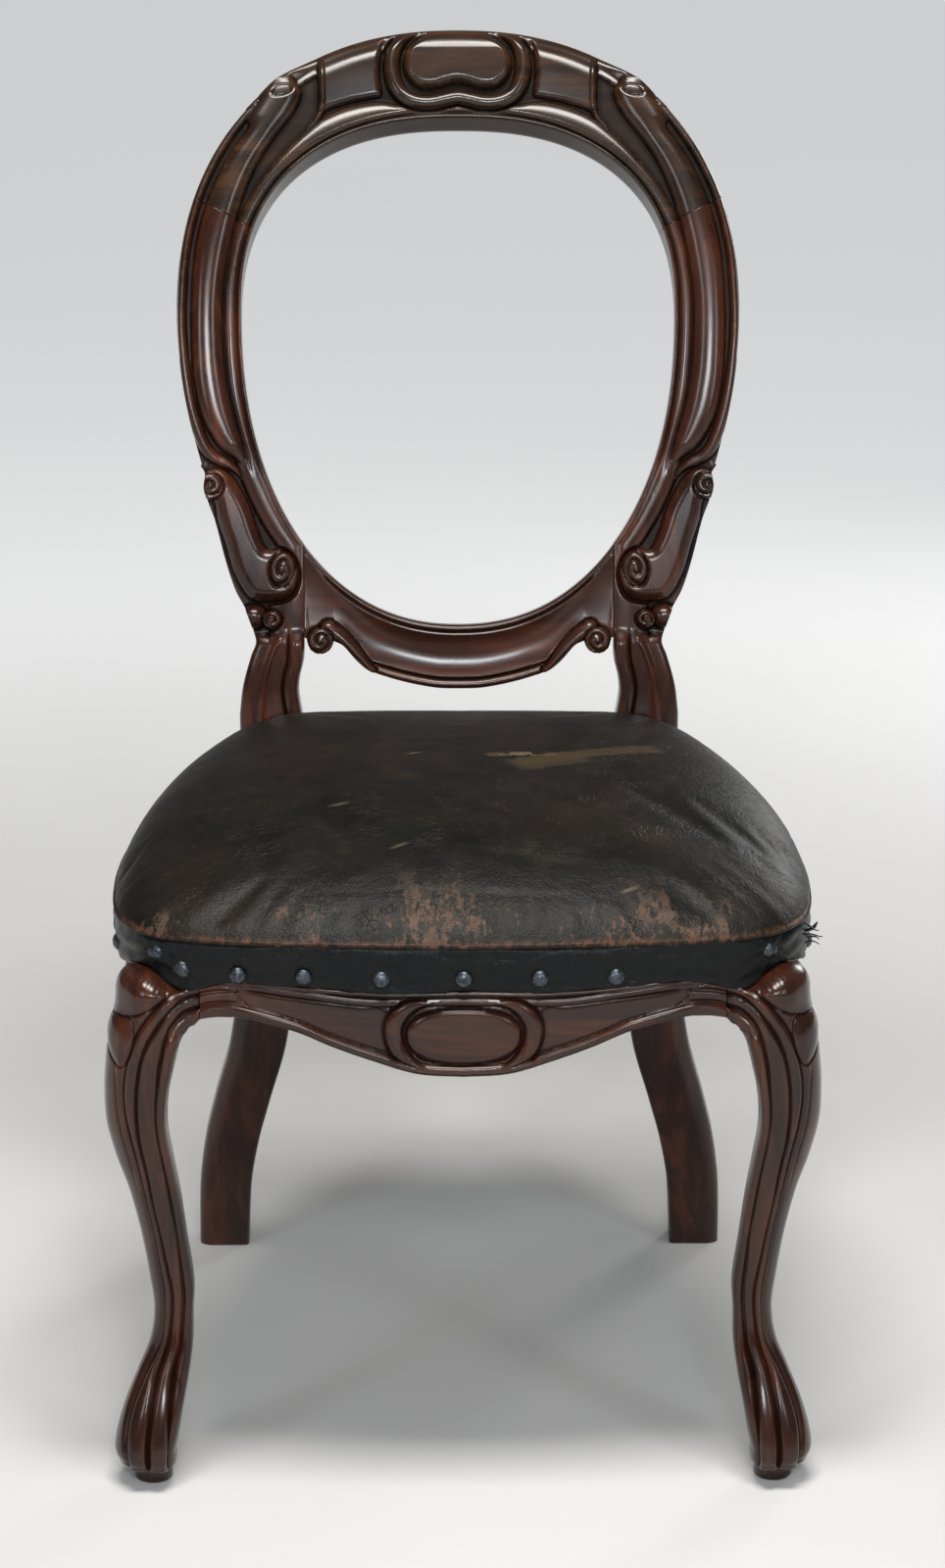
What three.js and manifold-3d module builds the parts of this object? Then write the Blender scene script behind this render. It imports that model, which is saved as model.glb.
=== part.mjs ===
// A Victorian balloon back dining chair in mahogany with an over-stuffed leather seat.
// Millimetres, +Z up. The chair faces -Y and stands on the floor, with the origin under its middle.
// Left and right are as seen from the front. Pairs are modelled on the right and mirrored.
// The back is drawn flat, across and along its height, and then bent onto one long arc.

import * as THREE from 'three';
import { mergeVertices } from 'three/addons/utils/BufferGeometryUtils.js';
import Module from 'manifold-3d';

const wasm = await Module();
wasm.setup();

// Fits shared by all joints
const fitGap = 0.3;
const cutOverrun = 6;

// The top of the seat's rails, which the heights near it are measured from
const railTop = 382;
const railHeight = 60;
const railBottom = railTop - railHeight;

// The back's arc: levels are measured along it, up from where the posts leave the seat
const upholsteryRise = 58;
const seatLevelHeight = railTop + upholsteryRise;
const backFaceDepth = 383;
const backTiltDegrees = 6;
const backArcRadius = 1620;
const rearLegArcRadius = 1064;
const backBow = 12;
const backBowRise = 200;

// Where the posts' inner faces stand under the balloon: the widths of back and seat start from it
const crossJointAcross = 115;

// The balloon: an egg-shaped opening with a frame that is tall at the crest and narrow at the sides
const openingSwell = 46;
const openingHalfWidth = crossJointAcross + openingSwell;
const openingFootLevel = 66.5;
const openingRise = 145.5;
const openingDrop = 233.5;
const openingWidestLevel = openingFootLevel + openingDrop;
const openingUpperPower = 2.4;
const openingLowerPower = 2.2;
const sideMemberWidth = 47.5;
const crestMemberHeight = 69;
const outlineExtraDrop = 88.5;
const outlineDrop = openingDrop + outlineExtraDrop;
const outlineUpperPower = 2.25;
const outlineLowerPower = 1.8;
const crestThickness = 31;
const mouldingRelief = 9;
const backEdgeEase = 4;
const undersideSplay = 5;

// The joint between crest and post, with its dowels
const crestJointDegrees = 69;
const crestDowelRadius = 4;
const crestDowelLength = 44;
const crestDowelSideShares = [0.27, 0.73];

// The crest's carving: a bean in the middle inside a bead, and a leaf panel that ends in a hollow
const pebbleHalfWidth = 40;
const pebbleRise = 20.5;
const pebbleFootLevel = openingWidestLevel + openingRise + pebbleRise;
const pebbleHeight = 41;
const pebbleProud = 3.5;
const cartoucheBeadWidth = 9;
const cartoucheGroove = 4.5;
const panelEndAcross = 100;
const hollowAcross = 110;
const fingerTipAcross = 121;

// The posts below the balloon, with the scroll panel and its volutes
const scrollTopLevel = 186;
const postThickness = 30;
const footThickness = 28;
const upperVoluteInset = 24.5;
const upperVoluteAcross = openingHalfWidth + sideMemberWidth - upperVoluteInset;
const upperVoluteLevel = 170.5;
const upperVoluteRadius = 10.4;
const lowerVoluteInset = 16.5;
const lowerVoluteAcross = crossJointAcross + lowerVoluteInset;
const lowerVoluteLevel = 107.5;
const lowerVoluteRadius = 12.5;
const waistLobeInset = 36.5;
const waistLobeAcross = crossJointAcross + waistLobeInset;
const waistLobeLevel = 72;
const waistLobeRadius = 10;
const waistVoluteInset = 25;
const waistVoluteAcross = crossJointAcross + waistVoluteInset;
const waistVoluteRadius = 6;
const voluteProud = 4.5;

// The cross rail: a crescent tenoned between the posts
const crossJointFootLevel = 58;
const crossRailThickness = 22;
const crossRailSetback = 2;
const crossRailRelief = 6;
const crossVoluteInset = 12;
const crossVoluteAcross = crossJointAcross - crossVoluteInset;
const crossVoluteLevel = 55.5;
const crossVoluteRadius = 9.7;
const crossTenonLength = 14;
const crossTenonFootLevel = 70;
const crossTenonHeight = 26;

// The seat's plan, measured from the front of the feet, and its heights
const seatOverhang = 121;
const seatHalfWidth = crossJointAcross + seatOverhang;
const seatFront = -24;
const seatBackOverhang = 28;
const seatBack = backFaceDepth + seatBackOverhang;
const railThickness = 25;
const backRailThickness = 20;
const leatherThickness = 2;
const skirtInset = 4.6;
const skirtDrop = 24.5;
const skirtFoot = railTop - skirtDrop;
const earRise = 11;
const earInset = 19;
const earAcross = seatHalfWidth - earInset;
const earReach = 40;
const bandRise = 8;
const rollFoot = railTop + bandRise;
const frontRollRise = 15;
const rollFrontHeight = railTop + frontRollRise;
const backRollDrop = 16;
const rollBackHeight = seatLevelHeight - backRollDrop;
const crownRise = 13;
const crownHeight = seatLevelHeight + crownRise;

// The upholstery's foundation
const strapWidth = 50;
const strapThickness = 1.5;
const strapWeave = 1.1;
const strapMargin = 27;
const strapSpacing = crossJointAcross - strapMargin;
const hessianThickness = 1.2;
const hessianInset = 12;

// The shaped apron of the front rail, between the heads of the legs
const legHeadWidth = 63;
const railJointAcross = seatHalfWidth - legHeadWidth;
const apronDrop = 83;
const apronFoot = railTop - apronDrop;
const apronShoulderDrop = 44;
const apronShoulder = railTop - apronShoulderDrop;
const apronSetback = 21;
const apronReach = railJointAcross - apronSetback;
const showWoodProud = 3.4;
const cartoucheHalfWidth = 36.5;
const cartoucheHalfHeight = 19;
const cartoucheDrop = 56;
const cartoucheLevel = railTop - cartoucheDrop;
const cartoucheProud = 3;

// The tenons of the seat rails
const railTenonLength = 16;
const railTenonHeight = 34;
const railTenonDrop = 12;
const railTenonFoot = railTop - railTenonDrop - railTenonHeight;
const tenonThickness = 9;

// The cabriole front legs
const kneeProud = 2;
const legKneeAcross = seatHalfWidth + kneeProud;
const legSpread = 238;
const legHeadBackShare = 0.151;
const legHeadBack = legHeadBackShare * legSpread;
const legHeadHeight = 50;
const footPadRadius = 13;
const footPadInset = 27;
const footPadAcross = legKneeAcross - footPadInset;
const footPadDepth = 14;
const footPadEase = 2;
const kneeLeafRadius = 17;
const kneeLeafDepth = 12;
const kneeLeafHeight = 24;
const kneeLeafDrop = 33;
const kneeLeafLevel = railTop - kneeLeafDrop;

// The corner blocks and their screws
const cornerBlockReach = 46;
const cornerBlockHeight = 34;
const cornerBlockDrop = 4;
const cornerBlockTop = railTop - cornerBlockDrop;
const screwShankRadius = 2;
const screwHeadRadius = 4.2;
const screwHeadHeight = 2.4;
const screwLength = 32;
const screwSpacing = 18;

// The dome nails
const nailHeadRadius = 5.8;
const nailHeadHeight = 3.4;
const nailPinRadius = 0.8;
const nailPinLength = 12;
const nailRise = 9.5;

// How finely the long curves are stepped
const crestPanelSteps = 6;
const crestHollowSteps = 5;
const crestShoulderSteps = 7;
const postRingSteps = 9;
const postPanelSteps = 17;
const rearLegSteps = 8;
const crossRailSteps = 24;
const apronSteps = 26;
const legSteps = 23;
const sideRailSteps = 16;
const planPoints = 56;
const beadSteps = 20;
const beadArcSteps = 3;
const dowelSides = 10;
const nailSides = 7;
const nailPinSides = 4;
const screwSides = 6;
const footPadSides = 14;
const kneeLeafSides = 12;
const kneeLeafRings = 10;
const cartoucheSides = 16;
const cartoucheRings = 8;
const voluteSides = 10;

// Edges, as shares of the sizes named beside them

// Post above the seat: level over scrollTopLevel, outer edge over the outline's half width
const postOuterShares = [
  [1, 0.917], [0.965, 0.9], [0.91, 0.905], [0.849, 0.889], [0.785, 0.868], [0.608, 0.827],
  [0.5, 0.795], [0.42, 0.758], [0.333, 0.731], [0.29, 0.724], [0.24, 0.741], [0.118, 0.771], [0, 0.784],
];
// Post under the cross rail: level over crossJointFootLevel, inner edge over crossJointAcross
const postInnerShares = [[1, 1], [0.86, 1], [0.69, 1.007], [0.5, 1.03], [0.3, 1.038], [0, 1.016]];
// Rear leg: level over the floor's level, centre over crossJointAcross, width over sideMemberWidth
const rearLegShares = [
  [0, 1.218, 0.98], [0.15, 1.217, 0.95], [0.4, 1.25, 0.92], [0.58, 1.33, 0.905], [0.7, 1.45, 0.885],
  [0.78, 1.525, 0.865], [0.87, 1.577, 0.84], [1.04, 1.606, 0.8],
];
const rearLegOverrunShare = 1.03;
// Cross rail's lower edge: across over crossJointAcross, level over crossJointFootLevel
const crossFootShares = [
  [0, 0.345], [0.13, 0.352], [0.25, 0.388], [0.38, 0.446], [0.5, 0.517], [0.57, 0.565], [0.64, 0.655],
  [0.7, 0.79], [0.75, 0.9], [0.81, 0.95], [0.88, 0.975], [1, 1],
];
// Seat plan: across over seatHalfWidth, depth as a share from seatFront to seatBack
const seatPlanShares = [
  [0, 0], [0.38, 0.009], [0.68, 0.028], [0.86, 0.062], [0.962, 0.14], [1, 0.3], [0.983, 0.46],
  [0.925, 0.62], [0.833, 0.785], [0.715, 0.925], [0.6, 0.985], [0.4, 1], [0, 1],
];
// Apron: across over apronReach, rise of its lower edge from apronFoot to apronShoulder
const apronFootShares = [
  [0, 0], [0.2, 0.05], [0.4, 0.28], [0.56, 0.5], [0.73, 0.77], [1, 1], [1.14, 0.93], [1.3, 0.7],
];
// Front leg: height over its top, then outer and inner edge, front and back over legSpread. The edges
// are measured inward from legKneeAcross, which is at 1.
const frontLegShares = [
  [1, 0.968, 0.728, -0.052, 0.15], [0.933, 0.98, 0.728, -0.052, 0.15], [0.888, 0.987, 0.752, -0.052, 0.15],
  [0.84, 0.995, 0.804, -0.05, 0.15], [0.79, 1, 0.824, -0.046, 0.147], [0.722, 0.997, 0.832, -0.03, 0.14],
  [0.65, 0.973, 0.818, -0.004, 0.138], [0.58, 0.94, 0.802, 0.018, 0.14], [0.49, 0.911, 0.787, 0.042, 0.152],
  [0.39, 0.889, 0.77, 0.06, 0.165], [0.33, 0.88, 0.774, 0.063, 0.166], [0.27, 0.893, 0.777, 0.052, 0.16],
  [0.21, 0.93, 0.79, 0.02, 0.148], [0.145, 0.97, 0.808, -0.026, 0.132], [0.077, 0.994, 0.824, -0.055, 0.118],
  [0.05, 0.985, 0.826, -0.048, 0.116], [0.032, 0.945, 0.833, -0.012, 0.11],
];
const toeStartShare = 0.24;
const toeEndShare = 0.12;

// Sections, as shares: place across the member from its inner edge, then height over the relief

const ringSectionShares = [
  [0, -1], [0.05, -0.5], [0.11, -0.75], [0.2, -0.42], [0.31, -0.72], [0.41, -0.14], [0.54, 0],
  [0.67, -0.2], [0.77, -0.74], [0.88, -0.54], [1, -1.1],
];
const panelSectionShares = [
  [0, -1], [0.04, -0.5], [0.08, -0.75], [0.18, -0.42], [0.32, -0.9], [0.36, -0.42], [0.52, -0.2],
  [0.68, 0], [0.8, -0.28], [0.91, -0.85], [1, -1.8],
];
const hollowSectionShares = [
  [0, -1], [0.04, -0.5], [0.08, -0.75], [0.18, -0.42], [0.32, -0.95], [0.38, -0.95], [0.52, -0.9],
  [0.68, -0.86], [0.8, -0.9], [0.91, -1.1], [1, -1.6],
];
const scrollSectionShares = [
  [0, -1], [0.05, -0.5], [0.12, -0.7], [0.22, -0.5], [0.36, -0.66], [0.44, -0.3], [0.56, -0.06],
  [0.68, -0.12], [0.78, -0.56], [0.9, -0.5], [1, -1],
];
const postSectionShares = [
  [0, -1], [0.04, -0.3], [0.1, -0.16], [0.19, -0.42], [0.27, -0.28], [0.45, -0.12], [0.63, 0],
  [0.7, -0.26], [0.8, -0.56], [0.91, -0.9], [1, -1.45],
];
const rearLegSectionShares = [
  [0, -0.5], [0.04, -0.14], [0.1, 0], [0.25, 0], [0.4, 0], [0.55, 0], [0.7, 0],
  [0.78, -0.02], [0.86, -0.14], [0.94, -0.42], [1, -0.9],
];
// Where along the post, from the scroll's top to the seat, one section turns into the next
const scrollBlendShare = 0.18;
const waistStartShare = 0.52;
const waistBlendShare = 0.16;
const legBlendShare = 0.33;
// Cross rail, from its lower edge up
const crossSectionShares = [
  [0, -1], [0.03, -0.25], [0.09, -0.05], [0.14, -0.3], [0.17, -0.6], [0.3, -0.85],
  [0.5, -1], [0.7, -0.85], [0.83, -0.5], [0.87, -0.55], [0.93, -0.3], [1, -0.9],
];
// Apron: height over its own height, then what stands out over the show wood's own proudness
const apronSectionShares = [
  [0, 0.9], [0.04, 1.7], [0.1, 1.9], [0.17, 1.3], [0.24, 0.8], [0.5, 0.65],
  [0.72, 0.9], [0.78, 1.5], [0.86, 1.75], [0.91, 1.35], [0.96, 1.8], [1, 1.4],
];
// Front leg: across from its inner edge, then depth from the front of the section to its back
const shaftSectionShares = [
  [0, 0.22], [0.03, 0.07], [0.09, 0.01], [0.15, 0.06], [0.22, 0.02], [0.36, 0], [0.5, 0.02],
  [0.6, 0.08], [0.67, 0.05], [0.76, 0.12], [0.9, 0.26], [1, 0.5], [0.98, 0.78], [0.86, 0.96],
  [0.6, 1], [0.25, 1], [0.05, 0.92], [0, 0.6],
];
const toeSectionShares = [
  [0, 0.3], [0.04, 0.1], [0.13, 0.02], [0.21, 0.1], [0.27, 0.02], [0.38, 0], [0.46, 0.11],
  [0.53, 0.04], [0.67, 0.08], [0.74, 0.2], [0.86, 0.22], [1, 0.52], [0.98, 0.78], [0.86, 0.96],
  [0.6, 1], [0.25, 1], [0.05, 0.92], [0, 0.6],
];
// A volute's turned profile: radius over its own, height over its proudness
const voluteShares = [[1, 0], [0.86, 0.9], [0.62, 0.6], [0.4, 1], [0, 1.12]];
// The bean of the crest and the bead round it: across over their reach, then height over their own
const pebbleShares = [
  [0, 0.13], [0.3, 0.06], [0.55, 0], [0.8, 0.06], [0.95, 0.27], [1, 0.55], [0.93, 0.82], [0.7, 0.97], [0, 1],
];
const beadShares = [
  [0, 0.09], [0.3, 0.03], [0.55, 0], [0.83, 0.07], [0.97, 0.3], [1, 0.6], [0.93, 0.86], [0.78, 1],
];
// The seat's surface: inset over the seat's half width, and how squarely the roll turns into the crown
const crownInsetShares = [0, 0.04, 0.11, 0.25, 0.52];
const rollFrontPower = 3;
const rollBackPower = 9;
// The leather's side: how far its inset has closed, at a share from rollFoot to the roll
const rollShares = [[1, 0], [0.15, 0.65]];

// Nails: across over seatHalfWidth at the front and back, and along the sides over the seat's depth
const frontNailShares = [-0.845, -0.775, -0.62, -0.44, -0.225, 0, 0.21, 0.42, 0.845];
const sideNailShares = [0.2, 0.36, 0.52, 0.68, 0.83];
const backNailShares = [-0.3, 0, 0.3];
const nailProfileShares = [[0, 0], [1, 0], [0.72, 0.68], [0, 1]];

// Materials

const finish = (color, roughness, metalness) => (
  new THREE.MeshStandardMaterial({ color, roughness, metalness }));
const mahogany = () => finish(0x3a1a12, 0.28, 0);
const beech = () => finish(0x9a7448, 0.7, 0);
const leather = () => finish(0x26241f, 0.45, 0);
const horsehair = () => finish(0x2b2520, 0.95, 0);
const webbing = () => finish(0x9c8f74, 0.95, 0);
const sacking = () => finish(0x8f7a55, 0.95, 0);
const darkBrass = () => finish(0x3d4242, 0.35, 0.8);
const steel = () => finish(0x8a8a8a, 0.4, 0.9);

// Small helpers

const mix = THREE.MathUtils.lerp;
const toRadians = THREE.MathUtils.degToRad;
const point = (x, y, z) => new THREE.Vector3(x, y, z);

function ease(share) {
  const t = THREE.MathUtils.clamp(share, 0, 1);
  return t * t * (3 - 2 * t);
}

// Reads a table of rows by its first column, with a smooth curve through the rows
function readTable(rows, at, column) {
  const rising = rows[rows.length - 1][0] > rows[0][0];
  const table = rising ? rows : rows.slice().reverse();
  const last = table.length - 1;
  let i = 0;
  while (i < last - 1 && at > table[i + 1][0]) i += 1;
  const slope = (k) => {
    const [before, after] = [table[Math.max(k - 1, 0)], table[Math.min(k + 1, last)]];
    return (after[column] - before[column]) / (after[0] - before[0]);
  };
  const span = table[i + 1][0] - table[i][0];
  const t = THREE.MathUtils.clamp((at - table[i][0]) / span, 0, 1);
  const rise = table[i + 1][column] - table[i][column];
  const [from, to] = [slope(i) * span, slope(i + 1) * span];
  return table[i][column] + t * (from + t * (3 * rise - 2 * from - to + t * (from + to - 2 * rise)));
}

function blendSections(one, other, share) {
  return one.map(([place, height], i) => [mix(place, other[i][0], share), mix(height, other[i][1], share)]);
}

// Solids

function bare(geometry) {
  geometry.deleteAttribute('normal');
  geometry.deleteAttribute('uv');
  return mergeVertices(geometry);
}

function toSolid(geometry) {
  const merged = bare(geometry.clone());
  const vertProperties = new Float32Array(merged.attributes.position.array);
  const triVerts = new Uint32Array(merged.index.array);
  return new wasm.Manifold(new wasm.Mesh({ numProp: 3, vertProperties, triVerts }));
}

function toGeometry(solid) {
  const mesh = solid.getMesh();
  const geometry = new THREE.BufferGeometry();
  geometry.setAttribute('position', new THREE.BufferAttribute(new Float32Array(mesh.vertProperties), 3));
  geometry.setIndex(new THREE.BufferAttribute(new Uint32Array(mesh.triVerts), 1));
  return geometry;
}

function join(geometries) {
  return toGeometry(geometries.map(toSolid).reduce((whole, piece) => whole.add(piece)));
}

function cut(geometry, tools) {
  return toGeometry(tools.map(toSolid).reduce((whole, tool) => whole.subtract(tool), toSolid(geometry)));
}

function signedVolume(geometry) {
  const { position } = geometry.attributes;
  const { index } = geometry;
  const corners = [point(0, 0, 0), point(0, 0, 0), point(0, 0, 0)];
  let sum = 0;
  for (let i = 0; i < index.count; i += 3) {
    corners.forEach((corner, k) => corner.fromBufferAttribute(position, index.getX(i + k)));
    sum += corners[0].dot(corners[1].cross(corners[2]));
  }
  return sum;
}

// Turns a closed mesh right side out
function facesOut(geometry) {
  if (signedVolume(geometry) < 0) {
    const { index } = geometry;
    for (let i = 0; i < index.count; i += 3) {
      const first = index.getX(i);
      index.setX(i, index.getX(i + 1));
      index.setX(i + 1, first);
    }
  }
  return geometry;
}

function meshOf(points, triangles) {
  const geometry = new THREE.BufferGeometry();
  const numbers = points.flatMap((p) => [p.x, p.y, p.z]);
  geometry.setAttribute('position', new THREE.Float32BufferAttribute(numbers, 3));
  geometry.setIndex(triangles);
  return facesOut(geometry);
}

// Triangles of a flat cap, wound the way its ring runs
function capTriangles(outline) {
  const forward = THREE.ShapeUtils.area(outline) > 0;
  return THREE.ShapeUtils.triangulateShape(outline, []).map(([a, b, c]) => (forward ? [a, b, c] : [a, c, b]));
}

// Skins a row of sections. Each has a ring of points, and the flat outline that its cap is filled by.
function loft(sections) {
  const count = sections[0].ring.length;
  const last = (sections.length - 1) * count;
  const triangles = [];
  for (let row = 0; row < last; row += count) {
    for (let j = 0; j < count; j += 1) {
      const k = (j + 1) % count;
      triangles.push(row + j, row + count + j, row + count + k, row + j, row + count + k, row + k);
    }
  }
  for (const [a, b, c] of capTriangles(sections[0].outline)) triangles.push(a, b, c);
  for (const [a, b, c] of capTriangles(sections.at(-1).outline)) triangles.push(last + a, last + c, last + b);
  return meshOf(sections.flatMap((section) => section.ring), triangles);
}

// A section from pairs of numbers, with the rule that puts a pair in space
function sectionOf(pairs, place) {
  return {
    ring: pairs.map(([first, second]) => place(first, second)),
    outline: pairs.map(([first, second]) => new THREE.Vector2(first, second)),
  };
}

function box(from, to) {
  const size = point(0, 0, 0).subVectors(to, from);
  const geometry = new THREE.BoxGeometry(size.x, size.y, size.z);
  const middle = point(0, 0, 0).addVectors(from, to).multiplyScalar(1 / 2);
  return geometry.translate(middle.x, middle.y, middle.z);
}

// Moves a geometry whose axis is +Y so that it starts at a place and points along a direction
function aim(geometry, at, along) {
  geometry.applyQuaternion(new THREE.Quaternion().setFromUnitVectors(point(0, 1, 0), along));
  return geometry.translate(at.x, at.y, at.z);
}

function turned(pairs, sides) {
  const profile = pairs.map(([radius, y]) => new THREE.Vector2(radius, y));
  return facesOut(bare(new THREE.LatheGeometry(profile, sides)));
}

function mirrored(geometry) {
  return facesOut(bare(geometry.clone()).scale(-1, 1, 1));
}

// The back's arc

const backTilt = toRadians(backTiltDegrees);
const outlineHalfWidth = openingHalfWidth + sideMemberWidth;

const arcRadiusAt = (rise) => (rise >= 0 ? backArcRadius : rearLegArcRadius);

function onBack(across, level, proud) {
  const radius = arcRadiusAt(level);
  const tilt = backTilt + level / radius;
  const bow = backBow * (1 - (across / outlineHalfWidth) ** 2) * ease(level / backBowRise);
  const depth = backFaceDepth + radius * (Math.cos(backTilt) - Math.cos(tilt)) + bow;
  const height = seatLevelHeight + radius * (Math.sin(tilt) - Math.sin(backTilt));
  return point(across, depth - proud * Math.cos(tilt), height + proud * Math.sin(tilt));
}

// The level on the arc at a height over the floor, and the depth of the posts' face there
function levelAt(height) {
  const radius = arcRadiusAt(height - seatLevelHeight);
  return radius * (Math.asin(Math.sin(backTilt) + (height - seatLevelHeight) / radius) - backTilt);
}

const postFaceAt = (height) => onBack(outlineHalfWidth, levelAt(height), 0).y;
const floorLevel = levelAt(0);

// Bends a flat drawing onto the back: its x runs across, its y up and its z towards the sitter
function bend(geometry, across, level, proud) {
  const { position } = geometry.attributes;
  for (let i = 0; i < position.count; i += 1) {
    const [x, y, z] = [position.getX(i), position.getY(i), position.getZ(i)];
    const bent = onBack(across + x, level + y, proud + z);
    position.setXYZ(i, bent.x, bent.y, bent.z);
  }
  return facesOut(bare(geometry));
}

// The two ovals of the balloon. The turn runs from the crest's middle, down the side.
function ovalPoint(halfWidth, rise, drop, upperPower, lowerPower, turn) {
  const above = Math.cos(turn) >= 0;
  const power = 2 / (above ? upperPower : lowerPower);
  return {
    across: halfWidth * Math.sign(Math.sin(turn)) * Math.abs(Math.sin(turn)) ** power,
    level: openingWidestLevel + (above ? rise : -drop) * Math.abs(Math.cos(turn)) ** power,
  };
}

function openingPoint(turn) {
  return ovalPoint(openingHalfWidth, openingRise, openingDrop, openingUpperPower, openingLowerPower, turn);
}

function outlinePoint(turn) {
  const rise = openingRise + crestMemberHeight;
  return ovalPoint(outlineHalfWidth, rise, outlineDrop, outlineUpperPower, outlineLowerPower, turn);
}

// Half the opening's width at a level below its widest
function openingAcross(level) {
  const share = THREE.MathUtils.clamp((openingWidestLevel - level) / openingDrop, 0, 1);
  return openingHalfWidth * (1 - share ** openingLowerPower) ** (1 / openingLowerPower);
}

// The opening's lower edge at a place across
function openingFoot(across) {
  const share = Math.abs(across) / openingHalfWidth;
  return openingWidestLevel - openingDrop * (1 - share ** openingLowerPower) ** (1 / openingLowerPower);
}

// The turn at which the upper outline reaches a place across
const outlineTurnAt = (across) => Math.asin((across / outlineHalfWidth) ** (outlineUpperPower / 2));

const crestJointTurn = toRadians(crestJointDegrees);
const jointHalfGap = fitGap / 2 / openingHalfWidth;
const scrollDropShare = (openingWidestLevel - scrollTopLevel) / outlineDrop;
const scrollTurn = Math.PI - Math.acos(scrollDropShare ** (outlineLowerPower / 2));

// A section of a back member between its inner and outer edges: moulded in front, eased behind
function backSection(inner, outer, shares, thickness, splay) {
  const width = Math.hypot(outer.across - inner.across, outer.level - inner.level);
  const pairs = shares.map(([place, height]) => [place * width, height * mouldingRelief]);
  pairs.push([width, backEdgeEase - thickness], [width - backEdgeEase, -thickness]);
  pairs.push([backEdgeEase - splay, -thickness], [-splay, backEdgeEase - thickness]);
  return sectionOf(pairs, (along, proud) => {
    const place = along / width;
    return onBack(mix(inner.across, outer.across, place), mix(inner.level, outer.level, place), proud);
  });
}

function ringSection(turn, shares) {
  const splay = undersideSplay * Math.max(0, Math.cos(turn));
  return backSection(openingPoint(turn), outlinePoint(turn), shares, crestThickness, splay);
}

// Crest rail

function crestShares(across) {
  const toHollow = ease((across - panelEndAcross) / (hollowAcross - panelEndAcross));
  const toRing = ease((across - hollowAcross) / (fingerTipAcross - hollowAcross));
  const carved = blendSections(panelSectionShares, hollowSectionShares, toHollow);
  return blendSections(carved, ringSectionShares, toRing);
}

function crestTurns() {
  const [panelEnd, fingerTip] = [panelEndAcross, fingerTipAcross].map(outlineTurnAt);
  const marks = [0, panelEnd, fingerTip, crestJointTurn - jointHalfGap];
  const steps = [crestPanelSteps, crestHollowSteps, crestShoulderSteps];
  const right = steps.flatMap((count, k) => (
    Array.from({ length: count }, (_, i) => mix(marks[k], marks[k + 1], (i + 1) / count))));
  return [...right.map((turn) => -turn).reverse(), 0, ...right];
}

// A closed outline from the shares of its right half
function beanOutline(shares, halfWidth, foot, height) {
  const right = shares.map(([across, level]) => point(across * halfWidth, foot + level * height, 0));
  const left = right.slice(1, -1).reverse().map((p) => point(-p.x, p.y, 0));
  const curve = new THREE.CatmullRomCurve3([...right, ...left], true, 'centripetal');
  return curve.getPoints(3 * shares.length).slice(1).map((p) => new THREE.Vector2(p.x, p.y));
}

function crestPebble() {
  const round = mouldingRelief / 2;
  const outline = beanOutline(pebbleShares, pebbleHalfWidth, pebbleFootLevel, pebbleHeight);
  const pebble = new THREE.ExtrudeGeometry(new THREE.Shape(outline), {
    depth: pebbleProud, bevelThickness: round, bevelSize: round, bevelOffset: -round, bevelSegments: 2,
  });
  return bend(pebble, 0, 0, -round);
}

function crestBead() {
  const reach = pebbleHalfWidth + cartoucheGroove + cartoucheBeadWidth / 2;
  const foot = pebbleFootLevel - cartoucheGroove - cartoucheBeadWidth / 2;
  const height = pebbleFootLevel + pebbleHeight - foot;
  const right = beadShares.map(([across, level]) => [across * reach, foot + level * height]);
  const left = right.slice(1).reverse().map(([across, level]) => [-across, level]);
  const route = [...left, ...right].map(([across, level]) => onBack(across, level, -mouldingRelief / 3));
  const section = new THREE.Shape().absarc(0, 0, cartoucheBeadWidth / 2, 0, 2 * Math.PI);
  const extrudePath = new THREE.CatmullRomCurve3(route, false, 'centripetal');
  const bead = new THREE.ExtrudeGeometry(section, { steps: beadSteps, extrudePath, curveSegments: beadArcSteps });
  return facesOut(bare(bead));
}

// A straight dowel across the joint, in the middle of the board's thickness
function crestDowel(side, sideShare, clearance) {
  const halfTurn = crestDowelLength / 2 / openingHalfWidth;
  const end = (turn) => {
    const [inner, outer] = [openingPoint(turn), outlinePoint(turn)];
    const across = side * mix(inner.across, outer.across, sideShare);
    return onBack(across, mix(inner.level, outer.level, sideShare), -crestThickness / 2);
  };
  const [from, to] = [end(crestJointTurn - halfTurn), end(crestJointTurn + halfTurn)];
  const length = from.distanceTo(to) + 2 * clearance;
  const radius = crestDowelRadius + clearance;
  const dowel = new THREE.CylinderGeometry(radius, radius, length, dowelSides);
  return aim(dowel, from.clone().lerp(to, 1 / 2), to.clone().sub(from).normalize());
}

function crestRail() {
  const section = (turn) => ringSection(turn, crestShares(Math.abs(outlinePoint(turn).across)));
  const body = loft(crestTurns().map(section));
  const holes = [-1, 1].flatMap((side) => (
    crestDowelSideShares.map((share) => crestDowel(side, share, fitGap))));
  return cut(join([body, crestPebble(), crestBead()]), holes);
}

// Back posts, each with its rear leg

function volute(across, level, radius, proud) {
  const root = -2 * mouldingRelief;
  const pairs = [[0, root], [radius, root], ...voluteShares.map(([out, up]) => [out * radius, up * proud])];
  const disc = turned(pairs, voluteSides).rotateX(Math.PI / 2);
  return bend(disc, across, level, -mouldingRelief / 3);
}

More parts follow.
